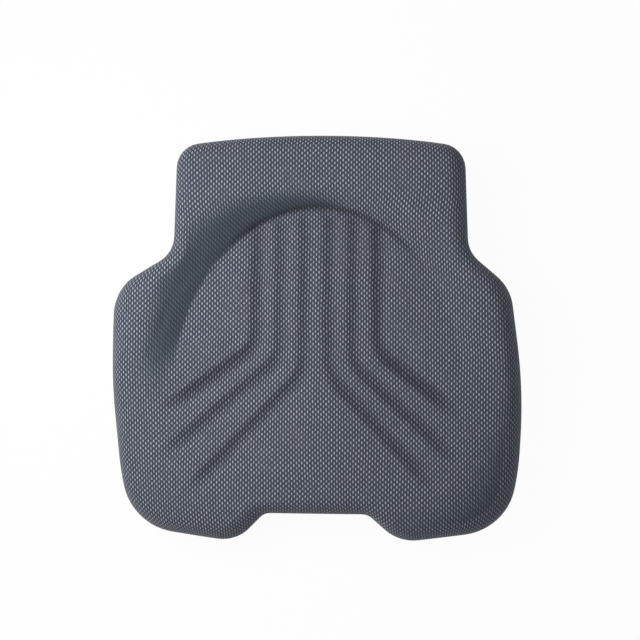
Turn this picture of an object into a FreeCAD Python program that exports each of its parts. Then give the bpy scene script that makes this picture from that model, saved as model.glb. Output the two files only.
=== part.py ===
import FreeCAD, Part
import math
import os

# Seat cushion for a vehicle operator's seat: a moulded foam pad with a one-piece textile
# cover, glued and clipped to a pressed steel pan that stands on two hat-section rails.
# Millimetres. +Z is up, +Y points to the rear edge, +X to the sitter's right-hand side.
# The origin is the middle of the footprint, on the plane of the rails' mounting faces.

VECTOR = FreeCAD.Vector
UP = VECTOR(0, 0, 1)

# Outline seen from above, as a polygon with rounded corners. The right half is named
# from the rear to the front, and the left half mirrors it.
REAR_HALF_WIDTH = 165.5
REAR_CORNER_Y = 220.9
REAR_CROWN = 22.6
REAR_CROWN_RADIUS = 980.0
REAR_CORNER_RADIUS = 16.0
NECK_HALF_WIDTH = 170.3
NECK_LENGTH = 121.5
NECK_RADIUS = 29.0
SHOULDER_HALF_WIDTH = 228.0
SHOULDER_LENGTH = 41.0
SHOULDER_RADIUS = 52.0
HIP_HALF_WIDTH = 237.0
HIP_LENGTH = 118.5
HIP_RADIUS = 600.0
THIGH_HALF_WIDTH = 231.5
THIGH_LENGTH = 90.0
THIGH_RADIUS = 300.0
FRONT_HALF_WIDTH = 219.0
FRONT_LENGTH = 70.0
FRONT_CORNER_RADIUS = 64.0
LOBE_TIP_HALF_WIDTH = 98.5
LOBE_BULGE = 16.0
LOBE_TIP_RADIUS = 30.0
NOTCH_HALF_WIDTH = 60.0
NOTCH_DEPTH = 33.0
NOTCH_RADIUS = 18.0
SOFT_CORNER_RADIUS = 14.0    # no inset of the outline has a tighter outer corner

# Layers, from the mounting face upwards.
RAIL_HEIGHT = 28.5           # mounting face to the pan's underside
PAN_THICKNESS = 1.5
FELT_THICKNESS = 1.5
FOAM_UNDER_HIPS = 45.0       # foam left under the rear of the basin
COVER_THICKNESS = 2.5
SOFT_GAP = 0.3               # between two soft layers, or a soft layer and a curved face

# Shape of the top.
THIGH_RISE = 8.0             # the floor climbs this much from the hips to the thighs
THIGH_RISE_START_Y = 130.0
THIGH_RISE_LENGTH = 210.0
EDGE_FALL = 16.0             # and falls this much towards the sides and the front
EDGE_FALL_FROM = 0.72        # share of the way out at which the fall starts
EDGE_FALL_LIMIT = 1.2        # share at which it goes no deeper
EDGE_CENTRE_Y = -60.0
EDGE_SQUARENESS = 3.5        # 2 falls off along ellipses, more along squarer curves
RIB_CROWN = 7.0              # crown of the ribbed middle
RIB_CROWN_HALF_WIDTH = 120.0
RIB_CROWN_RISE = 28.0        # it rises over this width, from the basin's foot inwards
RIB_CROWN_FRONT_LOSS = 0.7   # share of it that is gone at the front edge
BASIN_CENTRE_Y = -60.0       # the basin's foot is the rear part of an ellipse
BASIN_HALF_WIDTH = 165.0
BASIN_HALF_LENGTH = 211.0
BASIN_DEPTH_REAR = 11.0
BASIN_DEPTH_SIDE = 22.0
BASIN_SLOPE_REAR = 26.0      # width of the slope from the foot to the brow
BASIN_SLOPE_SIDE = 64.0
BASIN_FADE_START_Y = 30.0    # the side bolsters fade out towards the front
BASIN_FADE_LENGTH = 190.0
PLATEAU_CROWN = 4.0
CENTRE_SPOT = 0.01           # the basin's centre is measured from this far beside it
RIM_REACH = 21.0             # the rim rolls over this width
RIM_DROP = 24.0              # and this height
WALL_DRAFT = 4.0             # the wall leans in towards its foot
HEM_Z = 4.0                  # underside of the cover where it turns in
HEM_ROUND = 5.0

# Moulded channels: straight over the ribs, then turned out over the thighs.
# Each is (straight x, start y, bend x, bend y, end x, end y, depth) on the right half.
CHANNELS = [
    (14.0, 150.0, 14.6, -34.0, 142.0, -172.0, 4.0),
    (41.7, 147.0, 42.2, -20.0, 170.5, -130.5, 4.0),
    (69.0, 139.0, 70.4, -7.0, 170.5, -76.5, 5.2),
]
CHANNEL_HALF_WIDTH = 12.0
CHANNEL_BEND = 18.0          # length of the turn, each side of the bend
CHANNEL_BEND_STEPS = 6
CHANNEL_FADE_REAR = 16.0     # length over which a channel runs out at its rear end
CHANNEL_FADE_FRONT = 30.0    # and at its front end

# Steel pan.
PAN_INSET = 16.0             # cover's outline to the pan flange's outer face
FLANGE_FOOT_LIFT = 0.5       # flange's lower edge above the turned-in cover
PAN_EDGE_RADIUS = 3.0
BEAD_WIDTH = 20.0
BEAD_DEPTH = 4.0
BEAD_LENGTH = 190.0
BEAD_X = 162.0
BEAD_Y = -35.0
VENT_RADIUS = 9.0
VENT_PITCH = 45.0
VENT_ROW_Y = 125.0
SWITCH_HOLE_RADIUS = 21.0

# Rails, their fastenings and the stiffeners between them.
BOLT_SPACING_X = 200.0
BOLT_SPACING_Y = 220.0
BOLT_HOLE_RADIUS = 4.5
RAIL_LENGTH = 300.0
RAIL_CROWN_WIDTH = 34.0
RAIL_FLANGE_WIDTH = 14.0
RAIL_THICKNESS = 2.0
NUT_BORE_RADIUS = 4.0
NUT_ACROSS_FLATS = 13.0
NUT_HEIGHT = 6.5
NUT_CHAMFER = 0.8
RIVET_RADIUS = 2.4
RIVET_HEAD_RADIUS = 4.6
RIVET_HEAD_HEIGHT = 1.2
RIVET_CROWN_RADIUS = 2.8     # the head's flat top
RIVET_EDGE_HEIGHT = 0.4      # height of the head's upright edge
RIVET_END_MARGIN = 20.0      # rail end to the first rivet
RIVETS_PER_FLANGE = 3
STIFFENER_Y = 75.0           # one each side of the middle
STIFFENER_HEIGHT = 12.0
STIFFENER_CROWN_WIDTH = 26.0
STIFFENER_FLANGE_WIDTH = 10.0
STIFFENER_THICKNESS = 1.5
BEND_RADIUS = 1.2            # inside radius of the folded sections
HOLE_CLEARANCE = 0.15
WELD_GAP = 0.3               # stiffener's end to the rail's flange

# Plastic profiles that hook the cover's hem on the pan flange.
CLIP_WALL = 2.2
CLIP_OUTER_HEIGHT = 5.0
CLIP_INNER_HEIGHT = 8.0
CLIP_SLOT_CLEARANCE = 0.15
CLIP_RELIEF_RADIUS = 17.0    # the profile is left out round each corner

# Plug of the unused switch hole, and the buffers under the front corners.
PLUG_RIM_WIDTH = 4.0
PLUG_WALL = 1.6
PLUG_LIP = 0.6
BUFFER_X = 176.0
BUFFER_Y = -160.0
BUFFER_FOOT_RADIUS = 10.0
BUFFER_HEAD_RADIUS = 14.0
BUFFER_HOLE_RADIUS = 5.0
BUFFER_LIP_WIDTH = 2.0
LIP_HEIGHT = 1.2             # plug and buffer lips, inside the felt's thickness
FELT_HOLE_CLEARANCE = 1.0

# Fineness of the moulded skins.
RING_STEP = 7.5              # spacing of the points round the outline
RIM_RINGS = 5
TOP_RINGS = 42

PAN_TOP_Z = RAIL_HEIGHT + PAN_THICKNESS
FELT_TOP_Z = PAN_TOP_Z + FELT_THICKNESS
BASIN_FLOOR_Z = FELT_TOP_Z + FOAM_UNDER_HIPS + COVER_THICKNESS
FLANGE_FOOT_Z = HEM_Z + COVER_THICKNESS + FLANGE_FOOT_LIFT
FLANGE_INNER_INSET = PAN_INSET + PAN_THICKNESS
CLIP_OUTER_INSET = PAN_INSET - CLIP_SLOT_CLEARANCE - CLIP_WALL
CLIP_INNER_INSET = FLANGE_INNER_INSET + CLIP_SLOT_CLEARANCE + CLIP_WALL
HEM_EDGE_INSET = CLIP_OUTER_INSET - SOFT_GAP
FELT_INSET = PAN_INSET + PAN_EDGE_RADIUS + SOFT_GAP
RAIL_X = BOLT_SPACING_X / 2
RAIL_HALF_SPAN = RAIL_CROWN_WIDTH / 2 + RAIL_FLANGE_WIDTH


def outline_polygon():
    """Corners of the outline with their radii, clockwise from the rear edge's middle."""
    stations = [
        (REAR_HALF_WIDTH, 0.0, REAR_CORNER_RADIUS),
        (NECK_HALF_WIDTH, NECK_LENGTH, NECK_RADIUS),
        (SHOULDER_HALF_WIDTH, SHOULDER_LENGTH, SHOULDER_RADIUS),
        (HIP_HALF_WIDTH, HIP_LENGTH, HIP_RADIUS),
        (THIGH_HALF_WIDTH, THIGH_LENGTH, THIGH_RADIUS),
        (FRONT_HALF_WIDTH, FRONT_LENGTH, FRONT_CORNER_RADIUS),
        (LOBE_TIP_HALF_WIDTH, LOBE_BULGE, LOBE_TIP_RADIUS),
        (NOTCH_HALF_WIDTH, -NOTCH_DEPTH, NOTCH_RADIUS),
    ]
    right = []
    y = REAR_CORNER_Y
    for x, step, radius in stations:
        y -= step
        right.append((x, y, radius))
    left = [(-x, y, radius) for x, y, radius in reversed(right)]
    return [(0.0, REAR_CORNER_Y + REAR_CROWN, REAR_CROWN_RADIUS)] + right + left


def turns_out(before, here, after):
    """True where a clockwise outline bends outwards at a corner."""
    ahead = (here[0] - before[0]) * (after[1] - here[1])
    across = (here[1] - before[1]) * (after[0] - here[0])
    return ahead - across < 0


def inset(corners, distance):
    """The outline moved inwards, with its corner radii changed to match."""
    count = len(corners)
    lines = []
    for i in range(count):
        x0, y0, _ = corners[i]
        x1, y1, _ = corners[(i + 1) % count]
        length = math.hypot(x1 - x0, y1 - y0)
        ux, uy = (x1 - x0) / length, (y1 - y0) / length
        lines.append((x0 + uy * distance, y0 - ux * distance, ux, uy))
    moved = []
    for i in range(count):
        px, py, ux, uy = lines[i - 1]
        qx, qy, vx, vy = lines[i]
        along = ((qy - py) * vx - (qx - px) * vy) / (uy * vx - ux * vy)
        radius = corners[i][2]
        if turns_out(corners[i - 1], corners[i], corners[(i + 1) % count]):
            radius = max(radius - distance, min(radius, SOFT_CORNER_RADIUS))
        else:
            radius = radius + distance
        moved.append((px + ux * along, py + uy * along, radius))
    return moved


def rounded_corners(corners):
    """Start, middle, end, centre and turn of each corner's arc."""
    count = len(corners)
    points = [VECTOR(x, y, 0) for x, y, _ in corners]
    sides = [points[(i + 1) % count] - points[i] for i in range(count)]
    turns = [sides[i - 1].getAngle(sides[i]) for i in range(count)]
    tangents = [corners[i][2] * math.tan(turns[i] / 2) for i in range(count)]
    arcs = []
    for i in range(count):
        before = sides[i - 1].Length / (tangents[i - 1] + tangents[i])
        after = sides[i].Length / (tangents[i] + tangents[(i + 1) % count])
        tangent = tangents[i] * min(1.0, 0.999 * before, 0.999 * after)
        radius = tangent / math.tan(turns[i] / 2)
        into = VECTOR(sides[i - 1]).normalize()
        out = VECTOR(sides[i]).normalize()
        inward = (out - into).normalize()
        centre = points[i] + inward * (radius / math.cos(turns[i] / 2))
        arcs.append((points[i] - into * tangent, centre - inward * radius,
                     points[i] + out * tangent, centre, turns[i]))
    return arcs


def outline_wire(distance, z):
    """Closed wire of lines and tangent arcs at a height."""
    arcs = rounded_corners(inset(OUTLINE, distance))
    lift = UP * z
    edges = []
    for i, (start, middle, end, _, _) in enumerate(arcs):
        following = arcs[(i + 1) % len(arcs)][0]
        edges.append(Part.Arc(start + lift, middle + lift, end + lift).toShape())
        edges.append(Part.LineSegment(end + lift, following + lift).toShape())
    return Part.Wire(edges)


def outline_block(distance, bottom, top):
    """Straight-sided block with the outline's shape."""
    return Part.Face(outline_wire(distance, bottom)).extrude(UP * (top - bottom))


def ring_counts():
    """How many points each arc and each side of the outline gets."""
    arcs = rounded_corners(OUTLINE)
    on_arcs = []
    on_sides = []
    for i, (start, _, end, centre, turn) in enumerate(arcs):
        side = (arcs[(i + 1) % len(arcs)][0] - end).Length
        on_arcs.append(max(2, round((start - centre).Length * turn / RING_STEP)))
        on_sides.append(max(1, round(side / RING_STEP)))
    return on_arcs, on_sides


def outline_ring(distance):
    """Points round the outline; every inset has the same number of them."""
    arcs = rounded_corners(inset(OUTLINE, distance))
    points = []
    for i, (start, middle, end, centre, turn) in enumerate(arcs):
        spoke = start - centre
        way = 1 if spoke.cross(middle - centre).z > 0 else -1
        for j in range(ARC_POINTS[i]):
            angle = way * turn * j / ARC_POINTS[i]
            points.append(centre + FreeCAD.Rotation(UP, math.degrees(angle)).multVec(spoke))
        following = arcs[(i + 1) % len(arcs)][0]
        for j in range(SIDE_POINTS[i]):
            points.append(end + (following - end) * (j / SIDE_POINTS[i]))
    return points


def smooth(value):
    """Smooth step from 0 to 1."""
    value = min(1.0, max(0.0, value))
    return value * value * (3 - 2 * value)


def top_height(x, y):
    """Height of the cover's top, without the rim and the channels."""
    floor = BASIN_FLOOR_Z + THIGH_RISE * smooth((THIGH_RISE_START_Y - y) / THIGH_RISE_LENGTH)
    ahead = max(0.0, (EDGE_CENTRE_Y - y) / (EDGE_CENTRE_Y - FRONT_Y))
    edge = abs(x / HIP_HALF_WIDTH) ** EDGE_SQUARENESS + ahead ** EDGE_SQUARENESS
    fall = (edge ** (1 / EDGE_SQUARENESS) - EDGE_FALL_FROM) / (1 - EDGE_FALL_FROM)
    floor -= EDGE_FALL * min(EDGE_FALL_LIMIT, max(0.0, fall)) ** 2
    across, along = x / BASIN_HALF_WIDTH, (y - BASIN_CENTRE_Y) / BASIN_HALF_LENGTH
    from_centre = max(CENTRE_SPOT, math.hypot(x, y - BASIN_CENTRE_Y))
    reach = max(from_centre / BASIN_HALF_LENGTH, math.hypot(across, along))
    outside = from_centre * (1 - 1 / reach)
    share = 1 - (1 - min(1.0, across * across)) ** 2
    width = BASIN_SLOPE_REAR + (BASIN_SLOPE_SIDE - BASIN_SLOPE_REAR) * share
    depth = BASIN_DEPTH_REAR + (BASIN_DEPTH_SIDE - BASIN_DEPTH_REAR) * share
    depth += PLATEAU_CROWN * (1 - min(1.0, (x / NECK_HALF_WIDTH) ** 2))
    place = min(1.0, max(0.0, outside / width))
    creased = place * (3 - place * place) / 2
    softened = smooth((BASIN_FADE_START_Y - y) / (BASIN_FADE_LENGTH / 2))
    climb = creased + (smooth(place) - creased) * softened
    climb *= smooth((y - BASIN_FADE_START_Y) / BASIN_FADE_LENGTH + 1)
    crown = RIB_CROWN * (1 - min(1.0, (x / RIB_CROWN_HALF_WIDTH) ** 2)) ** 2
    crown *= (1 - RIB_CROWN_FRONT_LOSS * smooth(ahead)) * smooth(-outside / RIB_CROWN_RISE)
    return floor + crown + depth * climb


def channel_paths():
    """Centre line, lengths run so far and depth of each right-hand channel."""
    paths = []
    for start_x, start_y, bend_x, bend_y, end_x, end_y, depth in CHANNELS:
        start = VECTOR(start_x, start_y, 0)
        bend = VECTOR(bend_x, bend_y, 0)
        end = VECTOR(end_x, end_y, 0)
        into = bend + (start - bend).normalize() * CHANNEL_BEND
        out = bend + (end - bend).normalize() * CHANNEL_BEND
        points = [start]
        for i in range(CHANNEL_BEND_STEPS + 1):
            t = i / CHANNEL_BEND_STEPS
            points.append(into * (1 - t) ** 2 + bend * (2 * t * (1 - t)) + out * t ** 2)
        points.append(end)
        runs = [0.0]
        for i in range(1, len(points)):
            runs.append(runs[-1] + (points[i] - points[i - 1]).Length)
        paths.append((points, runs, depth))
    return paths


def channel_depth(x, y, half_width):
    """Depth of the moulded channels at a place on the top."""
    deepest = 0.0
    for points, runs, depth in PATHS:
        if abs(x) > points[-1].x + half_width or not END_Y < y < START_Y:
            continue
        nearest = half_width
        place = 0.0
        for i in range(len(points) - 1):
            ax, ay = points[i].x, points[i].y
            bx, by = points[i + 1].x - ax, points[i + 1].y - ay
            length = runs[i + 1] - runs[i]
            share = ((abs(x) - ax) * bx + (y - ay) * by) / (length * length)
            share = min(1.0, max(0.0, share))
            gap = math.hypot(abs(x) - ax - bx * share, y - ay - by * share)
            if gap < nearest:
                nearest = gap
                place = runs[i] + length * share
        fade = smooth(place / CHANNEL_FADE_REAR) * smooth((runs[-1] - place) / CHANNEL_FADE_FRONT)
        section = (1 + math.cos(math.pi * nearest / half_width)) / 2
        deepest = max(deepest, depth * fade * section)
    return deepest


def skin_rings(shrink):
    """Rings of points over wall, rim and top, all moved inwards by shrink."""
    rings = []
    for angle in (0, 45):
        turn = math.radians(angle)
        distance = WALL_DRAFT + shrink + HEM_ROUND * (1 - math.sin(turn))
        z = HEM_Z + shrink + HEM_ROUND * (1 - math.cos(turn))
        rings.append([point + UP * z for point in outline_ring(distance)])
    foot_z = HEM_Z + shrink + HEM_ROUND
    for part in (0.0, 0.2, 0.5, 0.8):
        ring = []
        for point in outline_ring(shrink + WALL_DRAFT * (1 - part) ** 2):
            brow_z = top_height(point.x, point.y) - RIM_DROP
            ring.append(point + UP * (foot_z + (brow_z - foot_z) * part))
        rings.append(ring)
    for i in range(RIM_RINGS + 1):
        turn = math.pi / 2 * i / RIM_RINGS
        distance = shrink + (RIM_REACH - shrink) * (1 - math.cos(turn))
        drop = shrink + (RIM_DROP - shrink) * (1 - math.sin(turn))
        ring = outline_ring(distance)
        rings.append([point + UP * (top_height(point.x, point.y) - drop) for point in ring])
    brow = outline_ring(RIM_REACH)
    centre = VECTOR(0, BASIN_CENTRE_Y, 0)
    for i in range(1, TOP_RINGS + 1):
        share = 1 - i / (TOP_RINGS + 1)
        ring = []
        for point in brow:
            place = centre + (point - centre) * share
            z = top_height(place.x, place.y) - shrink
            z -= channel_depth(place.x, place.y, CHANNEL_HALF_WIDTH + shrink / 2)
            ring.append(place + UP * z)
        rings.append(ring)
    middle_z = top_height(centre.x, centre.y) - shrink
    rings[-1] = [VECTOR(point.x, point.y, middle_z) for point in rings[-1]]
    return rings


def skin_face(shrink):
    """Smooth face over wall, rim and top, with its closed hem wire and middle wire."""
    rings = skin_rings(shrink)
    rows = len(rings)
    columns = len(rings[0])
    surface = Part.BSplineSurface()
    surface.buildFromPolesMultsKnots(
        rings, [4] + [1] * (rows - 4) + [4], [1] * (columns + 1),
        list(range(rows - 2)), list(range(columns + 1)), False, True, 3, 3)
    face = surface.toShape()
    loops = [edge for edge in face.Edges if edge.isClosed() and edge.BoundBox.ZLength < 0.01]
    loops.sort(key=lambda edge: edge.Length)
    return face, Part.Wire(loops[-1]), Part.Wire(loops[0])


def flat_ring(outer, inner):
    """Flat face between two closed wires."""
    return Part.makeFace([outer, inner], "Part::FaceMakerBullseye")


def solid_from(faces):
    """Solid inside a closed set of faces that share their edges."""
    shell = Part.Shell(faces)
    shell.sewShape()
    solid = Part.Solid(shell)
    if solid.Volume < 0:
        solid.reverse()
    return solid


def walls(distance, bottom, top):
    """Upright faces along an inset of the outline."""
    return outline_wire(distance, bottom).extrude(UP * (top - bottom)).Faces


def make_cover():
    """One-piece textile shell over top and sides, turned in under the foam."""
    outer, outer_hem, outer_middle = skin_face(0.0)
    inner, inner_hem, inner_middle = skin_face(COVER_THICKNESS)
    hem_top_z = HEM_Z + COVER_THICKNESS
    faces = [outer, Part.Face(outer_middle), inner, Part.Face(inner_middle)]
    faces.append(flat_ring(outer_hem, outline_wire(HEM_EDGE_INSET, HEM_Z)))
    faces.append(flat_ring(inner_hem, outline_wire(HEM_EDGE_INSET, hem_top_z)))
    faces += walls(HEM_EDGE_INSET, HEM_Z, hem_top_z)
    return solid_from(faces)


def make_foam():
    """Moulded foam with a stepped recess for clips, pan and felt."""
    shrink = COVER_THICKNESS + SOFT_GAP
    skin, hem, middle = skin_face(shrink)
    foot_z = HEM_Z + shrink
    clip_z = FLANGE_FOOT_Z + CLIP_OUTER_HEIGHT + SOFT_GAP
    pan_inset = PAN_INSET - SOFT_GAP
    felt_inset = FELT_INSET - SOFT_GAP
    faces = [skin, Part.Face(middle)]
    faces.append(flat_ring(hem, outline_wire(HEM_EDGE_INSET, foot_z)))
    faces += walls(HEM_EDGE_INSET, foot_z, clip_z)
    faces.append(flat_ring(outline_wire(HEM_EDGE_INSET, clip_z), outline_wire(pan_inset, clip_z)))
    faces += walls(pan_inset, clip_z, PAN_TOP_Z)
    faces.append(flat_ring(outline_wire(pan_inset, PAN_TOP_Z), outline_wire(felt_inset, PAN_TOP_Z)))
    faces += walls(felt_inset, PAN_TOP_Z, FELT_TOP_Z)
    faces.append(Part.Face(outline_wire(felt_inset, FELT_TOP_Z)))
    return solid_from(faces)


def cylinder(radius, x, y, bottom, top):
    """Upright cylinder between two heights."""
    return Part.makeCylinder(radius, top - bottom, VECTOR(x, y, bottom), UP)


def top_edges(shape, z):
    """Edges that lie in the horizontal plane at z."""
    return [edge for edge in shape.Edges
            if abs(edge.BoundBox.ZMin - z) < 0.01 and abs(edge.BoundBox.ZMax - z) < 0.01]


def stadium(width, length, x, y, bottom, top):
    """Upright block with round ends, long in y."""
    straight = (length - width) / 2
    body = Part.makeBox(width, 2 * straight, top - bottom,
                        VECTOR(x - width / 2, y - straight, bottom))
    for end in (-1, 1):
        body = body.fuse(cylinder(width / 2, x, y + end * straight, bottom, top))
    return body.removeSplitter()


def mirror_places(x, y):
    """The same place on the right and on the left."""
    return [(x, y), (-x, y)]


def vent_places():
    """Vents in the pan: a row at the front, one at the rear, and one each side of the plug."""
    rows = [(i * VENT_PITCH, side * VENT_ROW_Y) for side in (1, -1) for i in (-1, 0, 1)]
    return rows + mirror_places(VENT_PITCH, 0.0)


def rivet_places():
    """Rivets through the four rail flanges."""
    span = RAIL_LENGTH - 2 * RIVET_END_MARGIN
    offset = RAIL_CROWN_WIDTH / 2 + RAIL_FLANGE_WIDTH / 2
    places = []
    for rail in (-1, 1):
        for flange in (-1, 1):
            for i in range(RIVETS_PER_FLANGE):
                y = -span / 2 + span * i / (RIVETS_PER_FLANGE - 1)
                places.append((rail * RAIL_X + flange * offset, y))
    return places


def bolt_places():
    """The four mounting bolts."""
    return [(x * RAIL_X, y * BOLT_SPACING_Y / 2) for x in (-1, 1) for y in (-1, 1)]


def make_pan():
    """Pressed pan: flat top, rounded edge, flange down, beads, vents and holes."""
    outer = outline_block(PAN_INSET, FLANGE_FOOT_Z, PAN_TOP_Z)
    outer = outer.makeFillet(PAN_EDGE_RADIUS, top_edges(outer, PAN_TOP_Z))
    inner = outline_block(FLANGE_INNER_INSET, FLANGE_FOOT_Z, RAIL_HEIGHT)
    inner = inner.makeFillet(PAN_EDGE_RADIUS - PAN_THICKNESS, top_edges(inner, RAIL_HEIGHT))
    pan = outer.cut(inner)
    for x, y in mirror_places(BEAD_X, BEAD_Y):
        low_z = RAIL_HEIGHT - BEAD_DEPTH
        bead = stadium(BEAD_WIDTH, BEAD_LENGTH, x, y, low_z, RAIL_HEIGHT)
        width = BEAD_WIDTH - 2 * PAN_THICKNESS
        length = BEAD_LENGTH - 2 * PAN_THICKNESS
        hollow = stadium(width, length, x, y, low_z + PAN_THICKNESS, PAN_TOP_Z)
        pan = pan.fuse(bead).cut(hollow)
    holes = [cylinder(VENT_RADIUS, x, y, RAIL_HEIGHT, PAN_TOP_Z) for x, y in vent_places()]
    for x, y in rivet_places():
        holes.append(cylinder(RIVET_RADIUS + HOLE_CLEARANCE, x, y, RAIL_HEIGHT, PAN_TOP_Z))
    for x, y in mirror_places(BUFFER_X, BUFFER_Y):
        holes.append(cylinder(BUFFER_HOLE_RADIUS, x, y, RAIL_HEIGHT, PAN_TOP_Z))
    holes.append(cylinder(SWITCH_HOLE_RADIUS, 0, 0, RAIL_HEIGHT, PAN_TOP_Z))
    return pan.cut(holes).removeSplitter()


def make_felt():
    """Felt between pan and foam, cut out round what stands up through the pan."""
    felt = outline_block(FELT_INSET, PAN_TOP_Z, FELT_TOP_Z)
    holes = [cylinder(VENT_RADIUS, x, y, PAN_TOP_Z, FELT_TOP_Z) for x, y in vent_places()]
    radius = RIVET_HEAD_RADIUS + FELT_HOLE_CLEARANCE
    holes += [cylinder(radius, x, y, PAN_TOP_Z, FELT_TOP_Z) for x, y in rivet_places()]
    radius = BUFFER_HOLE_RADIUS + BUFFER_LIP_WIDTH + FELT_HOLE_CLEARANCE
    for x, y in mirror_places(BUFFER_X, BUFFER_Y):
        holes.append(cylinder(radius, x, y, PAN_TOP_Z, FELT_TOP_Z))
    radius = SWITCH_HOLE_RADIUS + PLUG_LIP + FELT_HOLE_CLEARANCE
    holes.append(cylinder(radius, 0, 0, PAN_TOP_Z, FELT_TOP_Z))
    return felt.cut(holes)


def band(outer_inset, inner_inset, bottom, top):
    """Closed strip between two insets of the outline."""
    return outline_block(outer_inset, bottom, top).cut(outline_block(inner_inset, bottom, top))


def make_clips():
    """U-profiles on the flange's lower edge, one strip along each side of the pan."""
    base_z = FLANGE_FOOT_Z - CLIP_WALL
    slot_outer = PAN_INSET - CLIP_SLOT_CLEARANCE
    slot_inner = FLANGE_INNER_INSET + CLIP_SLOT_CLEARANCE
    outer_top = FLANGE_FOOT_Z + CLIP_OUTER_HEIGHT
    inner_top = FLANGE_FOOT_Z + CLIP_INNER_HEIGHT
    loop = band(CLIP_OUTER_INSET, CLIP_INNER_INSET, base_z, FLANGE_FOOT_Z)
    loop = loop.fuse(band(CLIP_OUTER_INSET, slot_outer, FLANGE_FOOT_Z, outer_top))
    loop = loop.fuse(band(slot_inner, CLIP_INNER_INSET, FLANGE_FOOT_Z, inner_top))
    corners = [VECTOR(x, y, 0) for x, y, _ in inset(OUTLINE, PAN_INSET)]
    arcs = rounded_corners(inset(OUTLINE, PAN_INSET))
    reliefs = [arcs[1][1], (corners[2] + corners[3]) / 2, arcs[6][1],
               (corners[7] + corners[8]) / 2]
    for place in reliefs:
        for x, y in mirror_places(place.x, place.y):
            loop = loop.cut(cylinder(CLIP_RELIEF_RADIUS, x, y, base_z, inner_top))
    homes = {
        "rear": arcs[0][1],
        "neck_right": (corners[1] + corners[2]) / 2,
        "right": arcs[4][1],
        "front_right": (corners[6] + corners[7]) / 2,
        "notch": (corners[8] + corners[9]) / 2,
    }
    clips = {}
    for name, home in homes.items():
        spots = {name: home}
        if "right" in name:
            spots[name.replace("right", "left")] = VECTOR(-home.x, home.y, 0)
        for spot_name, spot in spots.items():
            mark = Part.Vertex(spot + UP * FLANGE_FOOT_Z)
            nearest = min(loop.Solids, key=lambda solid: solid.distToShape(mark)[0])
            clips["cover_clip_" + spot_name] = nearest
    return clips


def hat_section(width, flange, height, thickness, length):
    """Folded hat section, crown down at z 0, flanges up, centred, running along y."""
    half = width / 2
    points = [(-half, 0), (half, 0), (half, height - thickness),
              (half + flange, height - thickness), (half + flange, height),
              (half - thickness, height), (half - thickness, thickness)]
    points += [(-x, z) for x, z in reversed(points[2:])]
    profile = Part.makePolygon([VECTOR(x, -length / 2, z) for x, z in points + points[:1]])
    section = Part.Face(profile).extrude(VECTOR(0, length, 0))
    bends = {
        BEND_RADIUS: [(half - thickness, thickness), (half, height - thickness)],
        BEND_RADIUS + thickness: [(half, 0), (half - thickness, height)],
    }
    for radius, places in bends.items():
        folds = []
        for edge in section.Edges:
            box = edge.BoundBox
            for x, z in places:
                if box.YLength > length / 2 and abs(abs(box.XMin) - x) < 0.01 \
                        and abs(box.ZMin - z) < 0.01:
                    folds.append(edge)
        section = section.makeFillet(radius, folds)
    return section


def make_rail(side):
    """Mounting rail, riveted under the pan, with its two bolt holes in the crown."""
    rail = hat_section(RAIL_CROWN_WIDTH, RAIL_FLANGE_WIDTH, RAIL_HEIGHT, RAIL_THICKNESS,
                       RAIL_LENGTH)
    rail.translate(VECTOR(side * RAIL_X, 0, 0))
    holes = []
    for x, y in bolt_places():
        if x * side > 0:
            holes.append(cylinder(BOLT_HOLE_RADIUS, x, y, 0, RAIL_THICKNESS))
    for x, y in rivet_places():
        if x * side > 0:
            radius = RIVET_RADIUS + HOLE_CLEARANCE
            holes.append(cylinder(radius, x, y, RAIL_HEIGHT - RAIL_THICKNESS, RAIL_HEIGHT))
    return rail.cut(holes)


def make_stiffener(side):
    """Hat section spot-welded across the pan's middle, between the rails' flanges."""
    length = 2 * (RAIL_X - RAIL_HALF_SPAN - WELD_GAP)
    section = hat_section(STIFFENER_CROWN_WIDTH, STIFFENER_FLANGE_WIDTH, STIFFENER_HEIGHT,
                          STIFFENER_THICKNESS, length)
    section.rotate(VECTOR(0, 0, 0), UP, 90)
    section.translate(VECTOR(0, side * STIFFENER_Y, RAIL_HEIGHT - STIFFENER_HEIGHT))
    return section


def make_nuts():
    """Hexagon weld nuts inside the rails, over the bolt holes."""
    corner = NUT_ACROSS_FLATS / 2 / math.cos(math.pi / 6)
    nuts = []
    for x, y in bolt_places():
        points = []
        for i in range(7):
            turn = math.pi / 3 * i
            points.append(VECTOR(x + corner * math.cos(turn), y + corner * math.sin(turn),
                                 RAIL_THICKNESS))
        nut = Part.Face(Part.makePolygon(points)).extrude(UP * NUT_HEIGHT)
        top = RAIL_THICKNESS + NUT_HEIGHT
        crown = Part.makeCone(corner + NUT_HEIGHT - NUT_CHAMFER, corner - NUT_CHAMFER,
                              NUT_HEIGHT, VECTOR(x, y, RAIL_THICKNESS), UP)
        nut = nut.common(crown).cut(cylinder(NUT_BORE_RADIUS, x, y, RAIL_THICKNESS, top))
        nuts.append(nut)
    return Part.Compound(nuts)


def turned(profile, x, y):
    """Solid of revolution about an upright axis; the profile is (radius, z) points."""
    points = [VECTOR(radius, 0, z) for radius, z in profile]
    body = Part.Face(Part.makePolygon(points + points[:1])).revolve(VECTOR(0, 0, 0), UP, 360)
    body.translate(VECTOR(x, y, 0))
    return body


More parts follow.
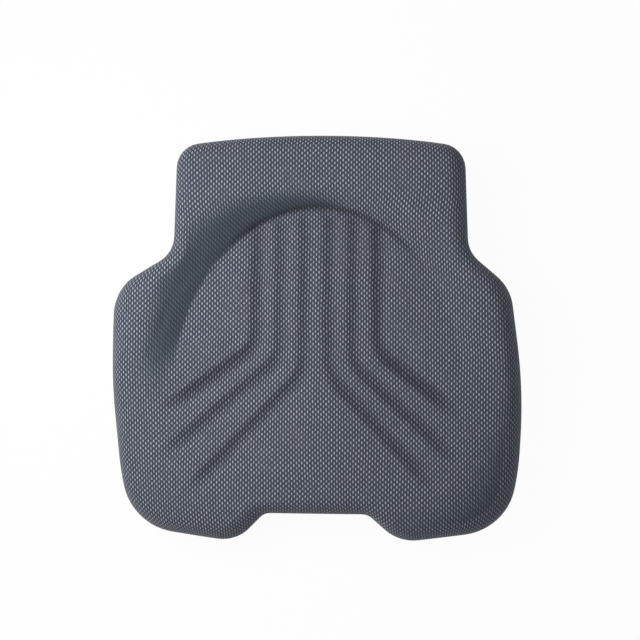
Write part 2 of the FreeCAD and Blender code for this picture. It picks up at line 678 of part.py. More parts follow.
def make_rivets():
    """Rivets that hold the rail flanges to the pan."""
    low_z = RAIL_HEIGHT - RAIL_THICKNESS
    profile = [
        (0, low_z - RIVET_HEAD_HEIGHT),
        (RIVET_CROWN_RADIUS, low_z - RIVET_HEAD_HEIGHT),
        (RIVET_HEAD_RADIUS, low_z - RIVET_EDGE_HEIGHT),
        (RIVET_HEAD_RADIUS, low_z),
        (RIVET_RADIUS, low_z),
        (RIVET_RADIUS, PAN_TOP_Z),
        (RIVET_HEAD_RADIUS, PAN_TOP_Z),
        (RIVET_HEAD_RADIUS, PAN_TOP_Z + RIVET_EDGE_HEIGHT),
        (RIVET_CROWN_RADIUS, PAN_TOP_Z + RIVET_HEAD_HEIGHT),
        (0, PAN_TOP_Z + RIVET_HEAD_HEIGHT),
    ]
    return Part.Compound([turned(profile, x, y) for x, y in rivet_places()])


def make_plug():
    """Snap-in plug of the unused switch hole, cupped upwards."""
    neck = SWITCH_HOLE_RADIUS - HOLE_CLEARANCE
    lip = SWITCH_HOLE_RADIUS + PLUG_LIP
    low_z = RAIL_HEIGHT - PLUG_WALL
    profile = [
        (0, low_z),
        (SWITCH_HOLE_RADIUS + PLUG_RIM_WIDTH, low_z),
        (SWITCH_HOLE_RADIUS + PLUG_RIM_WIDTH, RAIL_HEIGHT),
        (neck, RAIL_HEIGHT),
        (neck, PAN_TOP_Z),
        (lip, PAN_TOP_Z),
        (neck, PAN_TOP_Z + LIP_HEIGHT),
        (neck - PLUG_WALL, PAN_TOP_Z + LIP_HEIGHT),
        (neck - PLUG_WALL, RAIL_HEIGHT),
        (0, RAIL_HEIGHT),
    ]
    return turned(profile, 0, 0)


def make_buffers():
    """Push-in rubber buffers under the front corners."""
    neck = BUFFER_HOLE_RADIUS - HOLE_CLEARANCE
    profile = [
        (0, 0),
        (BUFFER_FOOT_RADIUS, 0),
        (BUFFER_HEAD_RADIUS, RAIL_HEIGHT),
        (neck, RAIL_HEIGHT),
        (neck, PAN_TOP_Z),
        (BUFFER_HOLE_RADIUS + BUFFER_LIP_WIDTH, PAN_TOP_Z),
        (neck, PAN_TOP_Z + LIP_HEIGHT),
        (0, PAN_TOP_Z + LIP_HEIGHT),
    ]
    return Part.Compound([turned(profile, x, y) for x, y in mirror_places(BUFFER_X, BUFFER_Y)])


OUTLINE = outline_polygon()
ARC_POINTS, SIDE_POINTS = ring_counts()
FRONT_Y = outline_wire(0, 0).BoundBox.YMin
PATHS = channel_paths()
START_Y = max(channel[1] for channel in CHANNELS) + CHANNEL_HALF_WIDTH * 2
END_Y = min(channel[5] for channel in CHANNELS) - CHANNEL_HALF_WIDTH * 2

nodes = {
    "cover_fabric": make_cover(),
    "foam_core": make_foam(),
    "foam_backing_felt": make_felt(),
    "seat_pan": make_pan(),
    "mount_rail_left": make_rail(-1),
    "mount_rail_right": make_rail(1),
    "front_stiffener": make_stiffener(-1),
    "rear_stiffener": make_stiffener(1),
    "weld_nuts": make_nuts(),
    "rail_rivets": make_rivets(),
    "switch_hole_plug": make_plug(),
    "rubber_buffers": make_buffers(),
}
nodes.update(make_clips())

os.makedirs("parts", exist_ok=True)
for node_name, shape in nodes.items():
    shape.exportStep(os.path.join("parts", node_name + ".step"))
    print(node_name, len(shape.Solids), "solids,", round(shape.Volume / 1000, 1), "cm3")
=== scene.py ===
# %% [markdown]
# # A moulded seat cushion in woven cloth
#
# The real thing is a block of moulded foam on a pressed steel pan. A tight textile cover is
# pulled over it and clipped under the pan's edge. The steel, the clips and the small parts
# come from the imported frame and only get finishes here. The foam and the cover are made new,
# because a soft part lives from its shape: the basin for the hips, the rolled rim and the
# channels that run to the thighs.
#
# The script works in millimetres and turns them into metres when a mesh is made.

import math

import bpy
import numpy as np
from mathutils import Matrix, Vector


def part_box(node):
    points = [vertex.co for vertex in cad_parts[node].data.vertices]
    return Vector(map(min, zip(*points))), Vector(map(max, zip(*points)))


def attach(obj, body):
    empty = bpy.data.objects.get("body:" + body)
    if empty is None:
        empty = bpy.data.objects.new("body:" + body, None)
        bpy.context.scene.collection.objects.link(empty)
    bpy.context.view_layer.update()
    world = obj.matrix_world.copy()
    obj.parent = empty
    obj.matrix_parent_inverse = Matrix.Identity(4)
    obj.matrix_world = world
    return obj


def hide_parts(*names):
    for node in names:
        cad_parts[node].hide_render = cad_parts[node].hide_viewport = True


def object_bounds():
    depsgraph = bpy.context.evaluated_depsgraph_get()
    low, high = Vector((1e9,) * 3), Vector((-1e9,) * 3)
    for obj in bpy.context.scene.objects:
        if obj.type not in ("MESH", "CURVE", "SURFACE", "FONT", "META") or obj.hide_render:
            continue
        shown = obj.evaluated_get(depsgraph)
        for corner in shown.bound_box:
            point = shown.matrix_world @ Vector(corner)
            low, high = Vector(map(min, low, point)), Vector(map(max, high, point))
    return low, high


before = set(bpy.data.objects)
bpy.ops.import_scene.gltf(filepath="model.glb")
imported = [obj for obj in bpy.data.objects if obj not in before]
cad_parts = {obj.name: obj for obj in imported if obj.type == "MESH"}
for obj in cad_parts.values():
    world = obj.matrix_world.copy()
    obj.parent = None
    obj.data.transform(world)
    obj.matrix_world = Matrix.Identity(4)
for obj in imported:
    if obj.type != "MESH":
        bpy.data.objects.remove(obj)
cad_low, cad_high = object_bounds()
BODY = "root"
MM = 0.001


def low_mm(node):
    """Lowest corner of a frame node, in millimetres."""
    return np.array(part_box(node)[0]) / MM


def high_mm(node):
    """Highest corner of a frame node, in millimetres."""
    return np.array(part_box(node)[1]) / MM


# %% [markdown]
# ## The outline
#
# Seen from above, the cushion is a narrow neck at the rear, wide hips, and a front with two
# lobes beside a notch. One way to draw it is a curve with many points. Here it is a polygon
# with rounded corners instead, so that each station has a width, a place and a radius that
# can be read and changed.
#
# A soft cushion never lies quite straight, and cloth rounds a corner more than foam does. The
# last three numbers of each station say how far the cloth has settled to the right there, and
# how much rounder and wider it is. The frame keeps the straight shape.

# %% Stations of the outline, from the rear to the front
STATIONS = [
    # half width, step forward, corner radius, then settled: to the right, rounder, wider
    (165.5, 0.0, 16.0, 6.2, 13.0, 0.0),
    (170.3, 121.5, 29.0, 6.2, 6.0, -0.8),
    (228.0, 41.0, 52.0, -6.0, 0.0, 1.6),
    (237.0, 118.5, 600.0, -0.1, 0.0, 1.6),
    (231.5, 90.0, 300.0, 0.7, 0.0, 1.5),
    (219.0, 70.0, 64.0, -0.5, 3.0, 0.8),
    (98.5, 16.0, 30.0, 1.1, 16.0, 0.0),
    (60.0, -33.0, 18.0, 1.1, 0.0, 0.0),
]
LOBE_GATHER = 3.0        # the lobes' tips draw this much nearer to the middle
NOTCH_GATHER = 2.0       # and the notch between them this much deeper
REAR_CORNER_Y = 220.9
REAR_CROWN = 22.6
REAR_CROWN_RADIUS = 980.0
REAR_TWIST = 1.9         # the rear corners' rise on the left and fall on the right
LOBE_TWIST = 1.0         # the lobes' fall on the left and rise on the right
SOFT_CORNER_RADIUS = 14.0
SIDE_SHARE = 0.999       # the two arcs at a side's ends take up no more of it than this
LAST_STATION = len(STATIONS) - 1


def outline_corners(settled):
    """Corners (x, y, radius) clockwise from the middle of the rear; settled is 0 to 1."""
    right = []
    left = []
    y = REAR_CORNER_Y
    for i, (half_width, step, radius, lean, rounder, wider) in enumerate(STATIONS):
        y -= step
        half_width += wider * settled
        radius += rounder * settled
        if i == LAST_STATION - 1:
            half_width -= LOBE_GATHER * settled
        twist = REAR_TWIST if i == 0 else 0.0
        if i >= LAST_STATION - 2:
            twist = -LOBE_TWIST if i == LAST_STATION - 1 else -LOBE_TWIST / 2
        if i == LAST_STATION:
            twist = 0.0
            y += NOTCH_GATHER * settled
        right.append((half_width + lean * settled, y - twist * settled, radius))
        left.append((-half_width + lean * settled, y + twist * settled, radius))
    rear = (STATIONS[0][3] * settled, REAR_CORNER_Y + REAR_CROWN, REAR_CROWN_RADIUS)
    return np.array([rear] + right + left[::-1])


def inset(corners, distance):
    """The outline moved inwards, with radii to match."""
    places, radii = corners[:, :2], corners[:, 2]
    sides = np.roll(places, -1, axis=0) - places
    sides /= np.linalg.norm(sides, axis=1)[:, None]
    starts = places + np.stack([sides[:, 1], -sides[:, 0]], 1) * distance
    moved = []
    for i in range(len(corners)):
        p, u, q, v = starts[i - 1], sides[i - 1], starts[i], sides[i]
        bend = u[0] * v[1] - u[1] * v[0]
        along = ((q[0] - p[0]) * v[1] - (q[1] - p[1]) * v[0]) / bend
        radius = radii[i] + distance
        if bend < 0:
            radius = max(radii[i] - distance, min(radii[i], SOFT_CORNER_RADIUS))
        moved.append((p[0] + u[0] * along, p[1] + u[1] * along, radius))
    return np.array(moved)


def corner_arcs(corners):
    """Start, end, centre, signed turn and radius of each corner's arc."""
    places = corners[:, :2]
    sides = np.roll(places, -1, axis=0) - places
    lengths = np.linalg.norm(sides, axis=1)
    sides /= lengths[:, None]
    count = len(corners)
    turns = [math.acos(np.clip(sides[i - 1] @ sides[i], -1, 1)) for i in range(count)]
    tangents = [corners[i, 2] * math.tan(turns[i] / 2) for i in range(count)]
    arcs = []
    for i in range(count):
        before = SIDE_SHARE * lengths[i - 1] / (tangents[i - 1] + tangents[i])
        after = SIDE_SHARE * lengths[i] / (tangents[i] + tangents[(i + 1) % count])
        tangent = tangents[i] * min(1, before, after)
        radius = tangent / math.tan(turns[i] / 2)
        into, out = sides[i - 1], sides[i]
        inward = (out - into) / np.linalg.norm(out - into)
        way = 1 if into[0] * out[1] - into[1] * out[0] > 0 else -1
        arcs.append((places[i] - into * tangent, places[i] + out * tangent,
                     places[i] + inward * radius / math.cos(turns[i] / 2), way * turns[i], radius))
    return arcs


# %% Rings round the outline
RING_STEP = 3.6
_arcs = corner_arcs(outline_corners(0))
ARC_POINTS = [max(3, round(abs(arc[3]) * arc[4] / RING_STEP)) for arc in _arcs]
SIDE_POINTS = [max(2, round(np.linalg.norm(_arcs[(i + 1) % len(_arcs)][0] - arc[1]) / RING_STEP))
               for i, arc in enumerate(_arcs)]
COLUMNS = sum(ARC_POINTS) + sum(SIDE_POINTS)


def ring(distance, settled):
    """Points round the outline; every ring has COLUMNS of them, which match up."""
    arcs = corner_arcs(inset(outline_corners(settled), distance))
    points = []
    for i, (start, end, centre, turn, _) in enumerate(arcs):
        angle = turn * np.arange(ARC_POINTS[i]) / ARC_POINTS[i]
        spoke = start - centre
        x = centre[0] + spoke[0] * np.cos(angle) - spoke[1] * np.sin(angle)
        y = centre[1] + spoke[0] * np.sin(angle) + spoke[1] * np.cos(angle)
        points.append(np.stack([x, y], 1))
        share = np.arange(SIDE_POINTS[i])[:, None] / SIDE_POINTS[i]
        points.append(end + (arcs[(i + 1) % len(arcs)][0] - end) * share)
    return np.concatenate(points)


print("rings of", COLUMNS, "points")

# %% [markdown]
# ## The top
#
# The foam's top is one height over each place: a floor that climbs to the thighs and falls
# towards the edge, a crown under the ribs, and a slope that rises out of an ellipse to the rear
# plateau and the side bolsters. At the slope's rear foot the cloth is drawn in along a shallow
# tuck. Six channels are pressed into it. A formula is used, not sculpting, because the weave
# has to know the same slopes.

# %% Height of the top
FOAM_UNDER_HIPS = 45.0
COVER_THICKNESS = 2.5
SOFT_GAP = 0.3
THIGH_RISE, THIGH_RISE_START_Y, THIGH_RISE_LENGTH = 8.0, 130.0, 210.0
EDGE_FALL, EDGE_FALL_FROM, EDGE_CENTRE_Y, EDGE_SQUARENESS = 16.0, 0.72, -60.0, 3.5
EDGE_FALL_LIMIT = 1.2
RIB_CROWN, RIB_CROWN_HALF_WIDTH, RIB_CROWN_RISE = 7.0, 120.0, 28.0
RIB_CROWN_FRONT_LOSS = 0.7
BASIN_CENTRE_Y, BASIN_HALF_WIDTH, BASIN_HALF_LENGTH = -60.0, 165.0, 211.0
BASIN_SETTLED = 4.0         # how far the basin lies to the right
BASIN_DEPTH_REAR, BASIN_DEPTH_SIDE = 11.0, 22.0
BASIN_SLOPE_REAR, BASIN_SLOPE_SIDE = 26.0, 64.0
BASIN_FADE_START_Y, BASIN_FADE_LENGTH = 30.0, 190.0
TUCK_DEPTH, TUCK_HALF_WIDTH = 3.0, 5.0      # where the cloth is drawn in at the slope's foot
TUCK_HALF_LENGTH, TUCK_FADE = 58.0, 50.0
TUCK_START = 0.25           # share of the basin's length behind its centre, to full depth
PLATEAU_CROWN = 4.0
CENTRE_SPOT = 0.01       # nearer to the middle than this, the way outwards has no meaning
BASIN_FLOOR_Z = high_mm("foam_backing_felt")[2] + FOAM_UNDER_HIPS + COVER_THICKNESS
FRONT_Y = low_mm("cover_fabric")[1]
NECK_HALF_WIDTH, HIP_HALF_WIDTH = STATIONS[1][0], STATIONS[3][0]


def smooth(value):
    """Smooth step from 0 to 1."""
    value = np.clip(value, 0, 1)
    return value * value * (3 - 2 * value)


def from_the_foot(x, y):
    """Millimetres outwards from the foot of the basin's slope; negative inside the basin."""
    aside, behind = x - BASIN_SETTLED, y - BASIN_CENTRE_Y
    from_centre = np.maximum(CENTRE_SPOT, np.hypot(aside, behind))
    reach = np.hypot(aside / BASIN_HALF_WIDTH, behind / BASIN_HALF_LENGTH)
    return from_centre * (1 - 1 / np.maximum(reach, from_centre / BASIN_HALF_LENGTH))


def tuck(x, y, half_width, half_length):
    """1 along the line where the cloth is drawn in at the rear foot of the slope."""
    behind = smooth((y - BASIN_CENTRE_Y) / BASIN_HALF_LENGTH / TUCK_START)
    ends = 1 - smooth((np.abs(x - BASIN_SETTLED) - half_length) / TUCK_FADE)
    return np.exp(-(from_the_foot(x, y) / half_width) ** 2) * behind * ends


def top_height(x, y):
    """Height of the cover's top, without the rim and the channels."""
    floor = BASIN_FLOOR_Z + THIGH_RISE * smooth((THIGH_RISE_START_Y - y) / THIGH_RISE_LENGTH)
    ahead = np.maximum(0, (EDGE_CENTRE_Y - y) / (EDGE_CENTRE_Y - FRONT_Y))
    edge = np.abs(x / HIP_HALF_WIDTH) ** EDGE_SQUARENESS + ahead ** EDGE_SQUARENESS
    fall = (edge ** (1 / EDGE_SQUARENESS) - EDGE_FALL_FROM) / (1 - EDGE_FALL_FROM)
    floor = floor - EDGE_FALL * np.clip(fall, 0, EDGE_FALL_LIMIT) ** 2
    aside = x - BASIN_SETTLED
    share = 1 - (1 - np.minimum(1, (aside / BASIN_HALF_WIDTH) ** 2)) ** 2
    width = BASIN_SLOPE_REAR + (BASIN_SLOPE_SIDE - BASIN_SLOPE_REAR) * share
    depth = BASIN_DEPTH_REAR + (BASIN_DEPTH_SIDE - BASIN_DEPTH_REAR) * share
    depth = depth + PLATEAU_CROWN * (1 - np.minimum(1, (x / NECK_HALF_WIDTH) ** 2))
    outside = from_the_foot(x, y)
    place = np.clip(outside / width, 0, 1)
    creased = place * (3 - place * place) / 2
    softened = smooth((BASIN_FADE_START_Y - y) / (BASIN_FADE_LENGTH / 2))
    climb = creased + (smooth(place) - creased) * softened
    climb = climb * smooth((y - BASIN_FADE_START_Y) / BASIN_FADE_LENGTH + 1)
    crown = RIB_CROWN * (1 - np.minimum(1, (aside / RIB_CROWN_HALF_WIDTH) ** 2)) ** 2
    crown = crown * (1 - RIB_CROWN_FRONT_LOSS * smooth(ahead)) * smooth(-outside / RIB_CROWN_RISE)
    drawn_in = TUCK_DEPTH * tuck(x, y, TUCK_HALF_WIDTH, TUCK_HALF_LENGTH)
    return floor + crown + depth * climb - drawn_in


print("the basin's middle is", round(float(top_height(0.0, BASIN_CENTRE_Y)), 1), "mm high")

# %% Channels pressed into the top
CHANNELS = [
    # straight x, start y, bend x, bend y, end x, end y, depth, on the right half
    (14.0, 150.0, 14.6, -34.0, 142.0, -172.0, 4.0),
    (41.7, 147.0, 42.2, -20.0, 170.5, -130.5, 4.0),
    (69.0, 139.0, 70.4, -7.0, 170.5, -76.5, 5.2),
]
FORWARDS = {     # how far each channel's bend and end have settled to the front
    -1: [(4.5, 4.0), (2.0, 3.5), (2.0, 6.0)],       # on the left
    1: [(6.0, -2.0), (8.5, 10.5), (7.5, 10.5)],     # on the right
}
CHANNEL_LONGER = 9.0         # the cloth carries a channel on past its end in the foam
THIGH_DEEPER = 0.45          # share by which the cloth is pressed deeper under the thighs
THIGH_DEEPER_LENGTH = 40.0
CHANNEL_HALF_WIDTH = 12.0
DEEPEST_STRAIGHT = max(channel[6] for channel in CHANNELS)
DEEPEST_CHANNEL = DEEPEST_STRAIGHT * (1 + THIGH_DEEPER)
CHANNEL_BEND = 18.0
CHANNEL_BEND_STEPS = 8
CHANNEL_FADE_REAR, CHANNEL_FADE_FRONT = 16.0, 48.0
CHANNEL_SETTLED_REAR, CHANNEL_SETTLED_FRONT = 5.5, -2.0     # how far the two ends lie to the right


def channel_path(number, side):
    """Points along one channel, its turn rounded; side is 1 on the right, -1 on the left."""
    start, bend, end = np.array(CHANNELS[number][:6]).reshape(3, 2) * (side, 1)
    bend_forwards, end_forwards = FORWARDS[side][number]
    start = start + (CHANNEL_SETTLED_REAR, 0)
    bend = bend + (CHANNEL_SETTLED_REAR, -bend_forwards)
    end = end + (CHANNEL_SETTLED_FRONT, -end_forwards)
    end = end + (end - bend) / np.linalg.norm(end - bend) * CHANNEL_LONGER
    into = bend + (start - bend) / np.linalg.norm(start - bend) * CHANNEL_BEND
    out = bend + (end - bend) / np.linalg.norm(end - bend) * CHANNEL_BEND
    share = np.linspace(0, 1, CHANNEL_BEND_STEPS + 1)[:, None]
    turn = into * (1 - share) ** 2 + bend * 2 * share * (1 - share) + out * share ** 2
    return np.concatenate([[start], turn, [end]])


def channel_depth(x, y, half_width):
    """Depth of the channels at each place."""
    depth = np.zeros_like(x)
    for number, side in [(number, side) for number in range(len(CHANNELS)) for side in (-1, 1)]:
        path = channel_path(number, side)
        lengths = np.linalg.norm(np.diff(path, axis=0), axis=1)
        near = np.full_like(x, 1e9)
        place = np.zeros_like(x)
        run = 0.0
        for (ax, ay), (bx, by), length in zip(path[:-1], path[1:], lengths):
            share = ((x - ax) * (bx - ax) + (y - ay) * (by - ay)) / length ** 2
            share = np.clip(share, 0, 1)
            gap = np.hypot(x - ax - (bx - ax) * share, y - ay - (by - ay) * share)
            closer = gap < near
            near = np.where(closer, gap, near)
            place = np.where(closer, run + length * share, place)
            run += length
        fade = smooth(place / CHANNEL_FADE_REAR) * smooth((run - place) / CHANNEL_FADE_FRONT)
        deeper = 1 + THIGH_DEEPER * smooth((place - lengths[0]) / THIGH_DEEPER_LENGTH)
        section = (1 + np.cos(math.pi * np.minimum(near / half_width, 1))) / 2
        depth = np.maximum(depth, CHANNELS[number][6] * deeper * fade * section)
    return depth


print(2 * len(CHANNELS), "channels, up to", DEEPEST_CHANNEL, "mm deep")

# %% [markdown]
# ## How the cloth bears out
#
# The foam pushes the cloth outwards, while it is held down in the channels and at the brow.
# So a sheet over the top is inflated as cloth, pinned where it is held, and how far each
# place has risen is kept on a grid. A coarse sheet is enough, because the rise is smooth, and
# the fine rings of the cover take it up later, with the channels still sharp.

# %% Cloth under the foam's pressure
GRID_HALF = 260.0
SHEET_CELLS = 100
SHEET_PRESSURE, SHEET_FRAMES = 4.0, 20
RISE_LIMIT = 1.6             # mm; the foam under a moulded cover gives no more
PIN_FROM, PIN_TO = 0.86, 0.97         # share of the way out to the brow
INSIDE_LAST_CELL = 0.001              # keeps a place on the grid's edge in its last cell
RIM_REACH, RIM_DROP = 21.0, 24.0      # width and height over which the rim rolls


def grid_lookup(table, x, y):
    """Value of a square table that spans the grid, between its points."""
    cells = len(table) - 1
    i = np.clip((x + GRID_HALF) / (2 * GRID_HALF) * cells, 0, cells - INSIDE_LAST_CELL)
    j = np.clip((y + GRID_HALF) / (2 * GRID_HALF) * cells, 0, cells - INSIDE_LAST_CELL)
    i0, j0 = i.astype(int), j.astype(int)
    s, t = i - i0, j - j0
    low = table[j0, i0] * (1 - s) + table[j0, i0 + 1] * s
    high = table[j0 + 1, i0] * (1 - s) + table[j0 + 1, i0 + 1] * s
    return low * (1 - t) + high * t


def held_down(x, y):
    """1 where the cloth is held, in the channels and from the brow outwards, and 0 between."""
    brow = ring(RIM_REACH, 1) - (0, BASIN_CENTRE_Y)
    round_way = np.arctan2(brow[:, 1], brow[:, 0])
    reach = np.interp(np.arctan2(y - BASIN_CENTRE_Y, x), round_way, np.hypot(*brow.T),
                      period=2 * math.pi)
    outwards = np.hypot(x, y - BASIN_CENTRE_Y) / reach
    pinned = smooth((outwards - PIN_FROM) / (PIN_TO - PIN_FROM))
    pressed = channel_depth(x, y, CHANNEL_HALF_WIDTH) / DEEPEST_STRAIGHT
    return np.maximum(pinned, np.minimum(1, pressed))


def inflated(x, y):
    """How far a sheet of cloth over the top rises at the places of a square grid."""
    z = top_height(x, y) - channel_depth(x, y, CHANNEL_HALF_WIDTH)
    points = np.stack([x, y, z], -1).reshape(-1, 3) * MM
    spots = np.arange(len(points)).reshape(x.shape)
    corners = [spots[:-1, :-1], spots[:-1, 1:], spots[1:, 1:], spots[1:, :-1]]
    mesh = bpy.data.meshes.new("cloth_sheet")
    mesh.from_pydata(points.tolist(), [], np.stack(corners, -1).reshape(-1, 4).tolist())
    sheet = bpy.data.objects.new("cloth_sheet", mesh)
    bpy.context.scene.collection.objects.link(sheet)
    pins = sheet.vertex_groups.new(name="held")
    for spot, weight in enumerate(held_down(x, y).ravel().tolist()):
        pins.add([spot], weight, "REPLACE")
    cloth = sheet.modifiers.new("cloth", "CLOTH").settings
    cloth.vertex_group_mass = pins.name
    cloth.use_pressure = True
    cloth.uniform_pressure_force = SHEET_PRESSURE
    cloth.effector_weights.gravity = 0
    for frame_number in range(1, SHEET_FRAMES + 1):
        bpy.context.scene.frame_set(frame_number)
    shaped = sheet.evaluated_get(bpy.context.evaluated_depsgraph_get()).data
    after = np.zeros(points.size, np.float32)
    shaped.vertices.foreach_get("co", after)
    bpy.data.objects.remove(sheet)
    bpy.context.scene.frame_set(1)
    return (after.reshape(points.shape) - points)[:, 2].reshape(x.shape) / MM


sheet_line = np.linspace(-GRID_HALF, GRID_HALF, SHEET_CELLS + 1)
cloth_rise = np.zeros((SHEET_CELLS + 1, SHEET_CELLS + 1))
risen = inflated(*np.meshgrid(sheet_line, sheet_line))
cloth_rise = RISE_LIMIT * np.tanh(np.maximum(0, risen) / RISE_LIMIT)
print("cloth rose by up to", round(float(risen.max()), 1), "mm, of which",
      round(float(cloth_rise.max()), 1), "mm are kept")

# %% [markdown]
# ## The skin as rings
#
# Rim and wall are rings at a growing inset, and the top shrinks the last of them towards the
# middle of the basin. Every ring has the same number of points, so that one loft makes the
# cover, and the foam under it is the same loft a little smaller.

# %% Rings of a skin
WALL_DRAFT = 4.0
HEM_ROUND = 5.0
HEM_SETTLED = 0.4        # the hem is clipped to the straight pan, so it settles only this share
HEM_Z = low_mm("cover_fabric")[2]


def at_height(places, z):
    """Three coordinates for each point of a ring."""
    return np.column_stack([places, np.broadcast_to(z, len(places))])


def skin(shrink, top_rings, rim_rings, wall_rings, hem_rings):
    """Rings from the middle of the top out over the rim and down to the hem."""
    rings = []
    brow = ring(RIM_REACH, 1)
    centre = np.array([0, BASIN_CENTRE_Y])
    for share in np.linspace(0, 1, top_rings + 1)[1:]:
        places = centre + (brow - centre) * share
        x, y = places.T
        z = top_height(x, y) - shrink - channel_depth(x, y, CHANNEL_HALF_WIDTH + shrink / 2)
        rings.append(at_height(places, z + grid_lookup(cloth_rise, x, y)))
    for turn in np.linspace(math.pi / 2, 0, rim_rings + 1)[1:]:
        distance = shrink + (RIM_REACH - shrink) * (1 - math.cos(turn))
        places = ring(distance, 1)
        z = top_height(*places.T) - shrink - (RIM_DROP - shrink) * (1 - math.sin(turn))
        rings.append(at_height(places, z))
    foot_z = HEM_Z + shrink + HEM_ROUND
    for share in np.linspace(1, 0, wall_rings + 1)[1:]:
        places = ring(shrink + WALL_DRAFT * (1 - share) ** 2, 1)
        brow_z = top_height(*places.T) - RIM_DROP
        rings.append(at_height(places, foot_z + (brow_z - foot_z) * share))
    for turn in np.linspace(math.pi / 2, 0, hem_rings + 1)[1:]:
        distance = WALL_DRAFT + shrink + HEM_ROUND * (1 - math.sin(turn))
        settled = HEM_SETTLED + (1 - HEM_SETTLED) * math.sin(turn)
        rings.append(at_height(ring(distance, settled), foot_z - HEM_ROUND * math.cos(turn)))
    return np.array(rings)


def loft(name, rings):
    """Closed mesh over rings of points in millimetres, with a point at both ends.

    The rings run clockwise seen from above and start at the top, so that faces look outwards.
    """
    rows, columns, _ = rings.shape
    points = np.concatenate([[rings[0].mean(0)], rings.reshape(-1, 3), [rings[-1].mean(0)]])
    grid = 1 + np.arange(rows * columns).reshape(rows, columns)
    beside = np.roll(grid, -1, axis=1)
    quads = np.stack([grid[:-1], beside[:-1], beside[1:], grid[1:]], -1).reshape(-1, 4)
    faces = [tuple(quad) for quad in quads.tolist()]
    faces += [(0, b, a) for a, b in zip(grid[0].tolist(), beside[0].tolist())]
    last = len(points) - 1
    faces += [(last, a, b) for a, b in zip(grid[-1].tolist(), beside[-1].tolist())]
    mesh = bpy.data.meshes.new(name)
    mesh.from_pydata((points * MM).tolist(), [], faces)
    mesh.polygons.foreach_set("use_smooth", [True] * len(mesh.polygons))
    mesh.update()
    piece = bpy.data.objects.new(name, mesh)
    bpy.context.scene.collection.objects.link(piece)
    print(name, len(points), "points,", len(faces), "faces")
    return piece


# %% [markdown]
# ## The cover
#
# One piece of woven cloth, two and a half millimetres thick with its backing. It is a closed
# shell: the outer side with all its detail, a flat turned-in hem, and a plain inner side.

# %% Cover rings
TOP_RINGS, RIM_RINGS, WALL_RINGS, HEM_RINGS = 112, 9, 9, 4
HIDDEN_RINGS = (56, 3, 2, 1)     # the same four counts for the side that hardly shows
PAN_INSET = 16.0
CLIP_REACH = 2.35            # the clip's outer face to the pan flange
HEM_EDGE_INSET = PAN_INSET - CLIP_REACH - SOFT_GAP

outer = skin(0.0, TOP_RINGS, RIM_RINGS, WALL_RINGS, HEM_RINGS)
inner = skin(COVER_THICKNESS, *HIDDEN_RINGS)[::-1]
hem_edge = ring(HEM_EDGE_INSET, 0)
hem = np.array([at_height(hem_edge, HEM_Z), at_height(hem_edge, HEM_Z + COVER_THICKNESS)])
cover_rings = np.concatenate([outer, hem, inner])
cover = loft("cushion_cover", cover_rings)

# %% [markdown]
# ## Where the weave lies
#
# Cloth that is pulled over a slope keeps its threads' spacing along the slope, so seen from
# above its pattern closes up there. A flat projection would get that wrong. The map below
# holds, in millimetres of cloth, how far each place is from the middle, measured along the
# surface across and lengthwise. Past the brow it goes on along each column down the side.

# %% Weave coordinates
GRID_STEP = 2.0


def lengths_from(slopes, start, axis):
    """Length along the surface from one grid line, across a whole table."""
    stretch = np.sqrt(1 + slopes ** 2)
    total = np.cumsum(stretch, axis=axis) * GRID_STEP
    return total - np.take(total, [start], axis=axis)


line = np.arange(-GRID_HALF, GRID_HALF + GRID_STEP / 2, GRID_STEP)
grid_x, grid_y = np.meshgrid(line, line)
slope_y, slope_x = np.gradient(top_height(grid_x, grid_y), GRID_STEP)
middle_column = int(round(GRID_HALF / GRID_STEP))
middle_row = int(round((GRID_HALF + BASIN_CENTRE_Y) / GRID_STEP))
cloth_across = lengths_from(slope_x, middle_column, 1)
cloth_along = lengths_from(slope_y, middle_row, 0) + BASIN_CENTRE_Y

CLOTH_FOLLOWS = 0.6          # share of a slope's extra length that is cloth; the rest is stretch
STRETCH_FROM, STRETCH_TO = math.radians(10), math.radians(55)
WALL_FOLLOWS = 0.8           # the same share down the wall
EVEN_REACH = 24              # points each way over which the way outwards is evened out

places = outer[:TOP_RINGS, :, :2]
lengths = np.stack([grid_lookup(table, *places.transpose(2, 0, 1))
                    for table in (cloth_across, cloth_along)], -1)
weave_top = places + (lengths - places) * CLOTH_FOLLOWS
brow_tangent = np.roll(outer[TOP_RINGS - 1], -1, 0) - np.roll(outer[TOP_RINGS - 1], 1, 0)
outward = np.stack([-brow_tangent[:, 1], brow_tangent[:, 0]], 1)
outward /= np.linalg.norm(outward, axis=1)[:, None]
outward = sum(np.roll(outward, turn, 0) for turn in range(-EVEN_REACH, EVEN_REACH + 1))
outward /= np.linalg.norm(outward, axis=1)[:, None]
steps = np.diff(cover_rings[TOP_RINGS - 1:], axis=0)
level = np.linalg.norm(steps[:, :, :2], axis=2)
whole = np.linalg.norm(steps, axis=2)
tilt = np.arctan2(np.abs(steps[:, :, 2]), level)
taken_up = smooth((tilt - STRETCH_FROM) / (STRETCH_TO - STRETCH_FROM))
over_rim = steps[:, :, :2] + outward * ((whole - level) * taken_up)[..., None]
down_wall = outward * whole[..., None] * WALL_FOLLOWS
moves = np.concatenate([over_rim[:RIM_RINGS], down_wall[RIM_RINGS:]])
weave = np.concatenate([weave_top, weave_top[-1] + np.cumsum(moves, axis=0)]).reshape(-1, 2)
weave = np.concatenate([[weave[:COLUMNS].mean(0)], weave, [weave[-COLUMNS:].mean(0)]])


def give_map(piece, name, places):
    """A UV map with one place for each vertex."""
    corners = np.zeros(len(piece.data.loops), int)
    piece.data.loops.foreach_get("vertex_index", corners)
    layer = piece.data.uv_layers.new(name=name)
    layer.uv.foreach_set("vector", places[corners].astype(np.float32).ravel())


give_map(cover, "weave", weave)

